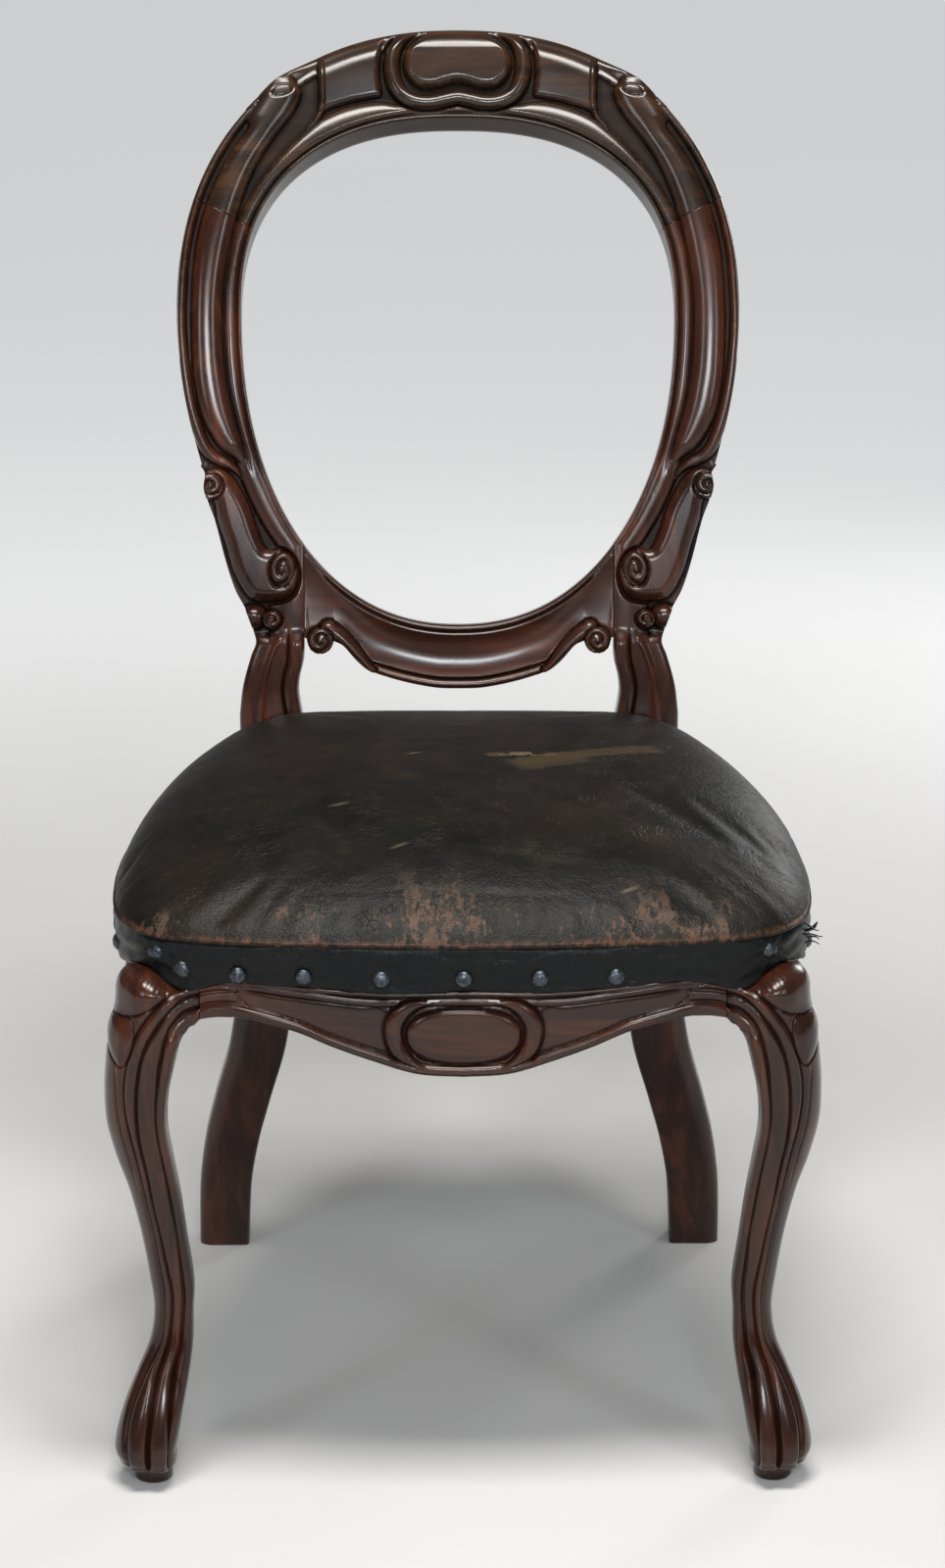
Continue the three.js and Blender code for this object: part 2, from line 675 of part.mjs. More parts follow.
function postEdges(level, skew) {
  const outer = { across: outlineHalfWidth * readTable(postOuterShares, level / scrollTopLevel, 1), level };
  const share = (level - crossJointFootLevel) / (scrollTopLevel - crossJointFootLevel);
  const innerLevel = level + skew * Math.max(0, share);
  const underRail = crossJointAcross * readTable(postInnerShares, innerLevel / crossJointFootLevel, 1);
  const besideRail = Math.max(crossJointAcross, openingAcross(innerLevel));
  const across = innerLevel < crossJointFootLevel ? underRail : besideRail;
  return { inner: { across, level: innerLevel }, outer };
}

function rearLegEdges(level) {
  const centre = crossJointAcross * readTable(rearLegShares, level / floorLevel, 1);
  const halfWidth = sideMemberWidth * readTable(rearLegShares, level / floorLevel, 2) / 2;
  return { inner: { across: centre - halfWidth, level }, outer: { across: centre + halfWidth, level } };
}

const postInnerAt = (height) => rearLegEdges(levelAt(height)).inner.across;

function scrollPanelSection(share) {
  const skew = openingPoint(scrollTurn).level - scrollTopLevel;
  const { inner, outer } = postEdges(scrollTopLevel * (1 - share), skew);
  const upper = blendSections(ringSectionShares, scrollSectionShares, ease(share / scrollBlendShare));
  const toPost = ease((share - waistStartShare) / waistBlendShare);
  return backSection(inner, outer, blendSections(upper, postSectionShares, toPost), postThickness, 0);
}

function rearLegSection(share) {
  const { inner, outer } = rearLegEdges(floorLevel * rearLegOverrunShare * share);
  const shares = blendSections(postSectionShares, rearLegSectionShares, ease(share / legBlendShare));
  return backSection(inner, outer, shares, mix(postThickness, footThickness, share), 0);
}

function postBody() {
  const sections = [];
  for (let i = 0; i < postRingSteps; i += 1) {
    const turn = mix(crestJointTurn + jointHalfGap, scrollTurn, i / postRingSteps);
    sections.push(ringSection(turn, ringSectionShares));
  }
  for (let i = 0; i < postPanelSteps; i += 1) sections.push(scrollPanelSection(i / postPanelSteps));
  for (let i = 0; i <= rearLegSteps; i += 1) sections.push(rearLegSection(i / rearLegSteps));
  return loft(sections);
}

function postVolutes() {
  return [
    volute(upperVoluteAcross, upperVoluteLevel, upperVoluteRadius, voluteProud),
    volute(lowerVoluteAcross, lowerVoluteLevel, lowerVoluteRadius, voluteProud),
    volute(waistLobeAcross, waistLobeLevel, waistLobeRadius, voluteProud / 2),
    volute(waistVoluteAcross, waistLobeLevel, waistVoluteRadius, voluteProud),
  ];
}

function belowFloor() {
  const reach = seatBack + seatHalfWidth;
  return box(point(-reach, -reach, -reach), point(reach, reach, 0));
}

function backPost() {
  const dowels = crestDowelSideShares.map((share) => crestDowel(1, share, fitGap));
  const tenons = [crossTenon(fitGap), sideRailBackTenon(fitGap), backRailTenon(fitGap)];
  const screws = cornerScrews(backCornerPlan(), fitGap);
  return cut(join([postBody(), ...postVolutes()]), [...dowels, ...tenons, ...screws, belowFloor()]);
}

// Cross rail

function crossTenon(clearance) {
  const length = cutOverrun + crossTenonLength + clearance;
  const [height, thickness] = [crossTenonHeight + 2 * clearance, tenonThickness + 2 * clearance];
  const middle = crossJointAcross - cutOverrun + length / 2;
  const level = crossTenonFootLevel + crossTenonHeight / 2;
  const depth = -crossRailSetback - crossRailThickness / 2;
  return bend(new THREE.BoxGeometry(length, height, thickness), middle, level, depth);
}

function crossSection(across) {
  const foot = crossJointFootLevel * readTable(crossFootShares, Math.abs(across) / crossJointAcross, 1);
  const head = openingFoot(across);
  const back = -crossRailThickness - crossRailSetback;
  const pairs = crossSectionShares.map(([place, height]) => (
    [mix(foot, head, place), height * crossRailRelief - crossRailSetback]));
  pairs.push([head, back + backEdgeEase], [head - backEdgeEase, back]);
  pairs.push([foot + backEdgeEase, back], [foot, back + backEdgeEase]);
  return sectionOf(pairs, (level, proud) => onBack(across, level, proud));
}

function crossRail() {
  const reach = crossJointAcross - fitGap;
  const sections = [];
  for (let i = 0; i <= crossRailSteps; i += 1) {
    sections.push(crossSection(mix(-reach, reach, i / crossRailSteps)));
  }
  const curl = volute(crossVoluteAcross, crossVoluteLevel, crossVoluteRadius, crossRailSetback);
  const tenon = crossTenon(0);
  return join([loft(sections), curl, mirrored(curl), tenon, mirrored(tenon)]);
}

// The seat's plan: every piece that follows it keeps the same facets

const seatDepth = seatBack - seatFront;
const seatMiddle = mix(seatFront, seatBack, 1 / 2);

function seatPlan(inset) {
  const scale = 1 - inset / seatHalfWidth;
  const right = seatPlanShares.map(([across, depth]) => point(
    scale * across * seatHalfWidth, seatMiddle + scale * (seatFront + depth * seatDepth - seatMiddle), 0));
  const left = right.slice(1, -1).reverse().map((p) => point(-p.x, p.y, 0));
  const outline = new THREE.CatmullRomCurve3([...right, ...left], true, 'centripetal');
  return outline.getPoints(planPoints).slice(0, -1);
}

// Where the plan's facets cross a line at one x or y: the outermost such point on one side
function seatEdge(inset, axis, at, side) {
  const other = axis === 'x' ? 'y' : 'x';
  const plan = seatPlan(inset);
  const found = plan.flatMap((from, i) => {
    const to = plan[(i + 1) % plan.length];
    const apart = to[axis] - from[axis];
    if (apart === 0 || (from[axis] - at) * (to[axis] - at) > 0) return [];
    const out = point(to.y - from.y, from.x - to.x, 0).normalize();
    return [{ at: from.clone().lerp(to, (at - from[axis]) / apart), out }];
  });
  return found.reduce((best, next) => (side * next.at[other] > side * best.at[other] ? next : best));
}

const seatFrontAt = (across, inset) => seatEdge(inset, 'x', across, -1).at.y;
const seatBackAt = (across, inset) => seatEdge(inset, 'x', across, 1).at.y;
const seatAcrossAt = (depth, inset) => seatEdge(inset, 'y', depth, 1).at.x;

// The leather's lower edge lifts over the carved knee at each front corner
function skirtFootAt(p) {
  const away = Math.hypot(Math.abs(p.x) - earAcross, p.y);
  return skirtFoot + earRise * ease((earReach - away) / (earReach - kneeLeafRadius));
}

// The dome of the seat: sides, roll and crown over the plan, all set in by one amount
function seatDome(shrink, foot) {
  const depthShare = (p) => (p.y - seatFront) / seatDepth;
  const roll = (p) => mix(rollFrontHeight, rollBackHeight, ease(depthShare(p)));
  const crown = (p, inset) => 1 - (1 - inset) ** mix(rollFrontPower, rollBackPower, ease(depthShare(p)));
  const ringAt = (inset, height) => seatPlan(inset + shrink).map((p) => point(p.x, p.y, height(p)));
  const sides = rollShares.map(([out, up]) => (
    ringAt(out * skirtInset, (p) => mix(rollFoot, roll(p) - shrink, up))));
  const top = crownInsetShares.map((inset) => (
    ringAt(inset * seatHalfWidth, (p) => mix(roll(p), crownHeight, crown(p, inset)) - shrink)));
  const all = [ringAt(skirtInset, foot), ...sides, ...top];
  const last = (all.length - 1) * planPoints;
  const apex = all.length * planPoints;
  const centre = point(0, seatMiddle, 0);
  const peak = point(0, seatMiddle, crownHeight - shrink);
  const points = [...all.flat(), peak, point(0, seatMiddle, foot(centre))];
  const triangles = [];
  for (let j = 0; j < planPoints; j += 1) {
    const k = (j + 1) % planPoints;
    for (let row = 0; row < last; row += planPoints) {
      const next = row + planPoints;
      triangles.push(row + j, row + k, next + k, row + j, next + k, next + j);
    }
    triangles.push(last + j, last + k, apex, j, apex + 1, k);
  }
  return meshOf(points, triangles);
}

// What the posts take out of the upholstery, with a clearance round them
function postEnvelope(clearance) {
  const behind = seatBack + cutOverrun;
  const heights = [railBottom, railTop, seatLevelHeight, crownHeight, crownHeight + cutOverrun];
  const one = loft(heights.map((height) => {
    const level = levelAt(height);
    const { inner, outer } = level > 0 ? postEdges(level, 0) : rearLegEdges(level);
    const [left, right] = [inner.across - clearance, outer.across + clearance];
    const front = postFaceAt(height) - clearance;
    const pairs = [[left, front], [right, front], [right, behind], [left, behind]];
    return sectionOf(pairs, (across, depth) => point(across, depth, height));
  }));
  return [one, mirrored(one)];
}

// Nails

const bandInset = skirtInset - leatherThickness - fitGap;
const railFace = skirtInset + leatherThickness + fitGap;

function nailSpots() {
  const front = frontNailShares.map((share) => seatEdge(bandInset, 'x', share * seatHalfWidth, -1));
  const sides = [-1, 1].flatMap((side) => sideNailShares.map((share) => (
    seatEdge(bandInset, 'y', seatFront + share * seatDepth, side))));
  const back = backNailShares.map((share) => seatEdge(skirtInset, 'x', share * seatHalfWidth, 1));
  return [...front, ...sides, ...back].map(({ at, out }) => (
    { at: point(at.x, at.y, skirtFootAt(at) + nailRise), out }));
}

const nails = nailSpots();

function nail(spot) {
  const profile = nailProfileShares.map(([out, up]) => [out * nailHeadRadius, up * nailHeadHeight + fitGap]);
  const head = turned(profile, nailSides);
  const pin = new THREE.CylinderGeometry(nailPinRadius, nailPinRadius, nailPinLength, nailPinSides);
  pin.translate(0, 2 * fitGap - nailPinLength / 2, 0);
  return aim(join([head, pin]), spot.at, spot.out);
}

function nailHole(spot) {
  const radius = nailPinRadius + fitGap;
  const hole = new THREE.CylinderGeometry(radius, radius, nailPinLength + 2 * cutOverrun, nailPinSides);
  hole.translate(0, cutOverrun - fitGap - nailPinLength / 2, 0);
  return aim(hole, spot.at, spot.out);
}

function nailed(geometry) {
  return cut(geometry, nails.map(nailHole));
}

// Upholstery

function seatCover() {
  const outside = seatDome(0, skirtFootAt);
  const inside = seatDome(leatherThickness, (p) => skirtFootAt(p) - cutOverrun);
  return nailed(cut(outside, [inside, ...postEnvelope(2 * fitGap)]));
}

const hessianFoot = railTop + 2 * fitGap + strapThickness + strapWeave;
const stuffingFoot = hessianFoot + hessianThickness + fitGap;

function stuffingPad() {
  const pad = seatDome(leatherThickness + 2 * fitGap, () => stuffingFoot);
  return cut(pad, postEnvelope(2 * fitGap));
}

// The strip of leather over the foot of the cover, from post to post round the front
function leatherBand() {
  const [outside, inside] = [seatPlan(bandInset), seatPlan(bandInset + leatherThickness)];
  const ends = postFaceAt(railTop) - leatherThickness;
  const order = outside.map((_, i) => (i + planPoints / 2) % planPoints).filter((j) => outside[j].y < ends);
  const head = rollFoot - fitGap;
  const band = loft(order.map((j) => {
    const foot = skirtFootAt(outside[j]);
    return sectionOf([[0, foot], [1, foot], [1, head], [0, head]], (out, height) => {
      const p = inside[j].clone().lerp(outside[j], out);
      return point(p.x, p.y, height);
    });
  }));
  return nailed(band);
}

// One strap, raised over or dropped under each strap that it crosses
function strap(from, to, crossings, first, place) {
  const half = strapWidth / 2;
  const base = railTop + fitGap + strapThickness / 2;
  const marks = [[from, 0]];
  crossings.forEach((at, k) => {
    const lift = (first + k) % 2 ? -strapWeave : strapWeave;
    marks.push([at - half - strapThickness, lift], [at + half + strapThickness, lift]);
  });
  marks.push([to, 0]);
  const [low, high] = [-strapThickness / 2, strapThickness / 2];
  const sides = [[-half, low], [half, low], [half, high], [-half, high]];
  return loft(marks.map(([at, lift]) => sectionOf(sides, (out, up) => place(at, out, base + lift + up))));
}

const strapPlaces = [-strapSpacing, 0, strapSpacing];

function lengthwiseStrap(index) {
  const across = strapPlaces[index];
  const reach = Math.abs(across) + strapWidth / 2;
  const from = seatFrontAt(reach, railFace + backEdgeEase);
  const to = seatBackAt(0, railFace + backEdgeEase);
  const crossings = strapPlaces.map((place) => seatMiddle + place);
  return strap(from, to, crossings, index, (at, out, height) => point(across + out, at, height));
}

function crosswiseStrap(index) {
  const depth = seatMiddle + strapPlaces[index];
  const ends = [-1, 1].map((side) => seatAcrossAt(depth + side * strapWidth / 2, railFace + backEdgeEase));
  const reach = Math.min(...ends);
  return strap(-reach, reach, strapPlaces, index + 1, (at, out, height) => point(at, depth + out, height));
}

function hessianSheet() {
  const plan = seatPlan(hessianInset).map((p) => [p.x, p.y]);
  const section = (up) => sectionOf(plan, (x, y) => point(x, y, hessianFoot + up));
  const sheet = loft([0, hessianThickness].map(section));
  return cut(sheet, postEnvelope(2 * fitGap));
}

// Seat rails

// A tenon in the rails' own directions, from where it starts in one piece to where it ends in the other
function railTenon(from, to, clearance) {
  const low = point(Math.min(from.x, to.x), Math.min(from.y, to.y), railTenonFoot);
  const high = point(Math.max(from.x, to.x), Math.max(from.y, to.y), railTenonFoot + railTenonHeight);
  const room = point(clearance, clearance, clearance);
  return box(low.sub(room), high.add(room));
}

const halfTenon = tenonThickness / 2;

function frontRailTenon(clearance) {
  const middle = seatFrontAt(railJointAcross, railFace) + railThickness / 2;
  const from = point(railJointAcross - cutOverrun, middle - halfTenon, 0);
  return railTenon(from, point(railJointAcross + railTenonLength, middle + halfTenon, 0), clearance);
}

function sideRailFrontTenon(clearance) {
  const middle = seatAcrossAt(legHeadBack, railFace) - railThickness + tenonThickness;
  const from = point(middle - halfTenon, legHeadBack + cutOverrun, 0);
  return railTenon(from, point(middle + halfTenon, legHeadBack - railTenonLength, 0), clearance);
}

function sideRailBackTenon(clearance) {
  const face = postFaceAt(railTenonFoot);
  const middle = seatAcrossAt(face, railFace) - railThickness / 2;
  const from = point(middle - halfTenon, face - cutOverrun, 0);
  return railTenon(from, point(middle + halfTenon, face + railTenonLength, 0), clearance);
}

const backRailBack = seatBackAt(postInnerAt(railTop), railFace);
const backRailFront = backRailBack - backRailThickness;

function backRailTenon(clearance) {
  const middle = mix(backRailFront, backRailBack, 1 / 2);
  const start = postInnerAt(railTenonFoot);
  const from = point(start - cutOverrun, middle - halfTenon, 0);
  return railTenon(from, point(start + railTenonLength, middle + halfTenon, 0), clearance);
}

function apronSection(across) {
  const rise = readTable(apronFootShares, Math.abs(across) / apronReach, 1);
  const foot = mix(apronFoot, apronShoulder, rise);
  const head = skirtFoot - fitGap;
  const face = seatFrontAt(across, railFace);
  const back = face + railThickness;
  const pairs = apronSectionShares.map(([place, out]) => (
    [face - showWoodProud * out, mix(foot, head, place)]));
  pairs.push([face, head], [face, railTop], [back, railTop]);
  pairs.push([back, foot + backEdgeEase], [back - backEdgeEase, foot]);
  return sectionOf(pairs, (depth, height) => point(across, depth, height));
}

// The oval boss in the middle of the apron
function apronCartouche() {
  const boss = bare(new THREE.SphereGeometry(1, cartoucheSides, cartoucheRings));
  boss.scale(cartoucheHalfWidth, cartoucheProud + showWoodProud, cartoucheHalfHeight);
  boss.translate(0, seatFrontAt(0, railFace) - showWoodProud, cartoucheLevel);
  return boss;
}

function frontSeatRail() {
  const reach = railJointAcross - fitGap;
  const sections = [];
  for (let i = 0; i <= apronSteps; i += 1) sections.push(apronSection(mix(-reach, reach, i / apronSteps)));
  const tenon = frontRailTenon(0);
  return nailed(join([loft(sections), apronCartouche(), tenon, mirrored(tenon)]));
}

// The rail is square to the floor, and its back end leans with the post's face
function sideRailSection(share) {
  const eased = backEdgeEase / railThickness;
  const profile = [[0, 1], [0, eased], [eased, 0], [1, 0], [1, 1]];
  const pairs = profile.map(([inward, up]) => [inward * railThickness, mix(railBottom, railTop, up)]);
  return sectionOf(pairs, (inward, height) => {
    const depth = mix(legHeadBack + fitGap, postFaceAt(height) - fitGap, share);
    return point(seatAcrossAt(depth, railFace) - inward, depth, height);
  });
}

function sideSeatRail() {
  const sections = [];
  for (let i = 0; i <= sideRailSteps; i += 1) sections.push(sideRailSection(i / sideRailSteps));
  return join([loft(sections), sideRailBackTenon(0), sideRailFrontTenon(0)]);
}

function backSeatRail() {
  const [front, back] = [backRailFront, backRailBack];
  const pairs = [[front, railBottom], [back, railBottom], [back, railTop], [front, railTop]];
  const place = (side) => (depth, height) => point(side * (postInnerAt(height) - fitGap), depth, height);
  const tenon = backRailTenon(0);
  const body = loft([-1, 1].map((side) => sectionOf(pairs, place(side))));
  return nailed(join([body, tenon, mirrored(tenon)]));
}

// Front legs

const legTop = skirtFoot - fitGap;

function legSection(share) {
  const toToe = ease((toeStartShare - share) / (toeStartShare - toeEndShare));
  const [outer, inner, front, back] = [1, 2, 3, 4].map((column) => (
    legSpread * readTable(frontLegShares, share, column)));
  const shift = legKneeAcross - legSpread;
  const pairs = blendSections(shaftSectionShares, toeSectionShares, toToe);
  const placed = pairs.map(([place, depth]) => [shift + mix(inner, outer, place), mix(front, back, depth)]);
  return sectionOf(placed, (across, depth) => point(across, depth, share * legTop));
}

function legBody() {
  const lowestShare = frontLegShares.at(-1)[0];
  const sections = [];
  for (let i = 0; i <= legSteps; i += 1) sections.push(legSection(mix(1, lowestShare, i / legSteps)));
  return loft(sections);
}

function footPad() {
  const head = frontLegShares.at(-1)[0] * legTop + footPadEase;
  const pairs = [[0, 0], [footPadRadius - footPadEase, 0], [footPadRadius, footPadEase]];
  pairs.push([footPadRadius, head], [0, head]);
  return turned(pairs, footPadSides).rotateX(Math.PI / 2).translate(footPadAcross, footPadDepth, 0);
}

// The square head behind the leather, with the seat's outline on its outer corner
function legHead() {
  const corner = seatPlan(railFace).filter((p) => p.x > railJointAcross && p.y < legHeadBack);
  const ring = [
    [railJointAcross, legHeadBack], [railJointAcross, seatFrontAt(railJointAcross, railFace)],
    ...corner.map((p) => [p.x, p.y]), [seatAcrossAt(legHeadBack, railFace), legHeadBack],
  ];
  const section = (height) => sectionOf(ring, (x, y) => point(x, y, height));
  return loft([railTop - legHeadHeight, railTop].map(section));
}

// The carved leaf on the corner of the knee, under the lifted edge of the leather
function kneeLeaf() {
  const leaf = bare(new THREE.SphereGeometry(1, kneeLeafSides, kneeLeafRings));
  leaf.scale(kneeLeafRadius, kneeLeafDepth, kneeLeafHeight);
  leaf.rotateZ(Math.PI / 4);
  leaf.translate(earAcross, 0, kneeLeafLevel);
  const reserved = seatDome(-leatherThickness - fitGap, (p) => skirtFootAt(p) - fitGap);
  return cut(leaf, [reserved]);
}

function frontLeg() {
  const tenons = [frontRailTenon(fitGap), sideRailFrontTenon(fitGap)];
  const screws = cornerScrews(frontCornerPlan(), fitGap);
  const whole = join([legBody(), footPad(), legHead(), kneeLeaf()]);
  return cut(whole, [...tenons, ...screws]);
}

// Corner blocks, notched round the leg or the post, with two screws each

function sideRailInside(depth) {
  return seatAcrossAt(depth, railFace) - railThickness - fitGap;
}

function frontCornerPlan() {
  const side = railJointAcross - fitGap;
  const back = legHeadBack + fitGap;
  const railBack = (across) => seatFrontAt(across, railFace) + railThickness + fitGap;
  const far = back + cornerBlockReach;
  return [
    [side - cornerBlockReach, railBack(side - cornerBlockReach)], [side, railBack(side)], [side, back],
    [sideRailInside(back), back], [sideRailInside(far), far],
  ];
}

function backCornerPlan() {
  const heights = [cornerBlockTop - cornerBlockHeight, cornerBlockTop];
  const side = Math.min(...heights.map(postInnerAt)) - fitGap;
  const face = Math.min(...heights.map(postFaceAt)) - fitGap;
  const far = face - cornerBlockReach;
  const railFront = backRailFront - fitGap;
  return [
    [sideRailInside(far), far], [sideRailInside(face), face], [side, face],
    [side, railFront], [side - cornerBlockReach, railFront],
  ];
}

function cornerBlock(plan) {
  const shape = new THREE.Shape(plan.map(([x, y]) => new THREE.Vector2(x, y)));
  const block = new THREE.ExtrudeGeometry(shape, { depth: cornerBlockHeight, bevelEnabled: false });
  block.translate(0, 0, cornerBlockTop - cornerBlockHeight);
  return cut(facesOut(bare(block)), cornerScrews(plan, fitGap));
}

// The screws go square through the block's long face towards its notch
function cornerScrews(plan, clearance) {
  const [first, last, notch] = [plan[0], plan.at(-1), plan[2]].map(([x, y]) => point(x, y, 0));
  const middle = first.clone().lerp(last, 1 / 2);
  const out = point(last.y - first.y, first.x - last.x, 0).normalize();
  if (out.dot(notch.clone().sub(middle)) > 0) out.negate();
  const open = clearance > 0 ? cutOverrun : 0;
  const [head, shank] = [screwHeadRadius + clearance, screwShankRadius + clearance];
  const tip = -screwLength - clearance;
  return [-1, 1].map((k) => {
    const pairs = [[0, open], [head, open], [head, 0], [shank, -screwHeadHeight], [shank, tip], [0, tip]];
    const profile = clearance > 0 ? pairs : pairs.slice(1).with(0, [0, 0]);
    const seat = point(middle.x, middle.y, cornerBlockTop - cornerBlockHeight / 2 + k * screwSpacing / 2);
    return aim(turned(profile, screwSides), seat, out);
  });
}

// The chair

const chair = new THREE.Group();

function add(name, geometry, material) {
  const mesh = new THREE.Mesh(geometry, material);
  mesh.name = name;
  chair.add(mesh);
}

function addPair(name, geometry, material, finished = (piece) => piece) {
  add(`right_${name}`, finished(geometry), material());
  add(`left_${name}`, finished(mirrored(geometry)), material());
}

add('crest_rail', crestRail(), mahogany());
addPair('back_post', backPost(), mahogany);
add('cross_rail', crossRail(), mahogany());
add('front_seat_rail', frontSeatRail(), mahogany());
addPair('front_leg', frontLeg(), mahogany, nailed);
addPair('seat_rail', sideSeatRail(), mahogany, nailed);
add('back_seat_rail', backSeatRail(), mahogany());
for (const [name, plan] of [['front', frontCornerPlan()], ['back', backCornerPlan()]]) {
  addPair(`${name}_corner_block`, cornerBlock(plan), beech);
  cornerScrews(plan, 0).forEach((screw, k) => addPair(`${name}_corner_screw_${k + 1}`, screw, steel));
}
crestDowelSideShares.forEach((share, k) => addPair(`crest_dowel_${k + 1}`, crestDowel(1, share, 0), beech));
strapPlaces.forEach((_, k) => {
  add(`webbing_lengthwise_${k + 1}`, lengthwiseStrap(k), webbing());
  add(`webbing_crosswise_${k + 1}`, crosswiseStrap(k), webbing());
});
add('hessian', hessianSheet(), sacking());
add('stuffing_pad', stuffingPad(), horsehair());
add('seat_cover', seatCover(), leather());
add('leather_band', leatherBand(), leather());
nails.forEach((spot, k) => add(`nail_${k + 1}`, nail(spot), darkBrass()));

const bounds = new THREE.Box3().setFromObject(chair);
const middle = bounds.getCenter(point(0, 0, 0));
chair.position.set(-middle.x, -middle.y, -bounds.min.z);

const part = new THREE.Group();
part.add(chair);

export default part;
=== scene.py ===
# A Victorian balloon back dining chair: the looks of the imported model.
# Sizes below are millimetres in the drawing's frame, whose y starts at the front feet.
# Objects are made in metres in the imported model's frame.

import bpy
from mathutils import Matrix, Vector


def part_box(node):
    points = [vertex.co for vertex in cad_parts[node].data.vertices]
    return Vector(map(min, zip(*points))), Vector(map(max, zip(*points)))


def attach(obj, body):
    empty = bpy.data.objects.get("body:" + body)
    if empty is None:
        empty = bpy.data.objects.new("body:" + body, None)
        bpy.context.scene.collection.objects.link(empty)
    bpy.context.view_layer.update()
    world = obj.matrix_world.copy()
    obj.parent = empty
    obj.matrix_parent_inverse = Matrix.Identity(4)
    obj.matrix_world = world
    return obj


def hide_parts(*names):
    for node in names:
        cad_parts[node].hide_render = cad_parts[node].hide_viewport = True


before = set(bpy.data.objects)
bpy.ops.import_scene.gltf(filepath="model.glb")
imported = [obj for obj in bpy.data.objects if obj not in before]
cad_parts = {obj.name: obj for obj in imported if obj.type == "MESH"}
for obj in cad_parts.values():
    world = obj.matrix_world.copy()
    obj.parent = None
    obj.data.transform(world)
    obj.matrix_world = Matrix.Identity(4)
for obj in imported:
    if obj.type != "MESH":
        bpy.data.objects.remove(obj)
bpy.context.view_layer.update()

import functools
import math

import bpy
import numpy as np

MM = 0.001

# ---------------------------------------------------------------- sizes, as in the drawing

SEAT_FRONT = -24.0
SEAT_BACK = 411.0
SEAT_HALF_WIDTH = 236.0
SHIFT_Y = SEAT_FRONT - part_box("seat_cover")[0][1] / MM

SEAT_LEVEL = 440.0
FACE_DEPTH = 383.0
TILT = math.radians(6)
BACK_ARC = 1620.0
LEG_ARC = 1064.0
BOW = 12.0
BOW_RISE = 200.0

OPENING_HALF = 161.0
WIDEST = 300.0
OPENING_RISE = 145.5
OPENING_DROP = 233.5
OPENING_POWERS = (2.4, 2.2)
OUTLINE_HALF = 208.5
OUTLINE_RISE = 214.5
OUTLINE_DROP = 322.0
OUTLINE_POWERS = (2.25, 1.8)
CREST_THICK = 31.0
POST_THICK = 30.0
FOOT_THICK = 28.0
SPLAY = 5.0
EDGE = 4.0
JOINT_TURN = math.radians(69)
JOINT_GAP = 0.0011

SCROLL_TOP = 186.0
CROSS_JOINT = 115.0
CROSS_FOOT = 58.0
CROSS_THICK = 22.0
CROSS_SETBACK = 2.0
SIDE_WIDTH = 47.5

RAIL_TOP = 382.0
RAIL_THICK = 25.0
SKIRT_INSET = 4.6
SKIRT_FOOT = 357.5
BAND_INSET = 2.3
RAIL_FACE = 6.9
ROLL_FOOT = 390.0
FRONT_ROLL = 397.0
BACK_ROLL = 424.0
CROWN = 453.0
RAIL_JOINT = 173.0
APRON_FOOT = 299.0
APRON_SHOULDER = 338.0
APRON_REACH = 152.0
LEG_TOP = 357.2
LEG_SPREAD = 238.0
LEG_BACK_EDGE = 35.94
FIT = 0.3
ROUNDED = 1.2
# A height below any carving, a distance beyond any place, and hardly more than nothing
LOW, FAR, FINE = -30.0, 1e9, 1e-9

POST_OUTER = [
    (1, 0.917), (0.965, 0.9), (0.91, 0.905), (0.849, 0.889), (0.785, 0.868), (0.608, 0.827), (0.5, 0.795),
    (0.42, 0.758), (0.333, 0.731), (0.29, 0.724), (0.24, 0.741), (0.118, 0.771), (0, 0.784),
]
POST_INNER = [(1, 1), (0.86, 1), (0.69, 1.007), (0.5, 1.03), (0.3, 1.038), (0, 1.016)]
REAR_LEG = [
    (0, 1.218, 0.98), (0.15, 1.217, 0.95), (0.4, 1.25, 0.92), (0.58, 1.33, 0.905), (0.7, 1.45, 0.885),
    (0.78, 1.525, 0.865), (0.87, 1.577, 0.84), (1.04, 1.606, 0.8),
]
CROSS_FOOT_SHARES = [
    (0, 0.345), (0.13, 0.352), (0.25, 0.388), (0.38, 0.446), (0.5, 0.517), (0.57, 0.565), (0.64, 0.655),
    (0.7, 0.79), (0.75, 0.9), (0.81, 0.95), (0.88, 0.975), (1, 1),
]
SEAT_PLAN = [
    (0, 0), (0.38, 0.009), (0.68, 0.028), (0.86, 0.062), (0.962, 0.14), (1, 0.3), (0.983, 0.46),
    (0.925, 0.62), (0.833, 0.785), (0.715, 0.925), (0.6, 0.985), (0.4, 1), (0, 1),
]
APRON_SHARES = [
    (0, 0), (0.2, 0.05), (0.4, 0.28), (0.56, 0.5), (0.73, 0.77), (1, 1), (1.14, 0.93), (1.3, 0.7),
]
FRONT_LEG = [
    (1, 0.968, 0.728, -0.052, 0.15), (0.933, 0.98, 0.728, -0.052, 0.15), (0.888, 0.987, 0.752, -0.052, 0.15),
    (0.84, 0.995, 0.804, -0.05, 0.15), (0.79, 1, 0.824, -0.046, 0.147), (0.722, 0.997, 0.832, -0.03, 0.14),
    (0.65, 0.973, 0.818, -0.004, 0.138), (0.58, 0.94, 0.802, 0.018, 0.14), (0.49, 0.911, 0.787, 0.042, 0.152),
    (0.39, 0.889, 0.77, 0.06, 0.165), (0.33, 0.88, 0.774, 0.063, 0.166), (0.27, 0.893, 0.777, 0.052, 0.16),
    (0.21, 0.93, 0.79, 0.02, 0.148), (0.145, 0.97, 0.808, -0.026, 0.132),
    (0.077, 0.994, 0.824, -0.055, 0.118), (0.05, 0.985, 0.826, -0.048, 0.116),
    (0.032, 0.945, 0.833, -0.012, 0.11),
]

# ---------------------------------------------------------------- small helpers


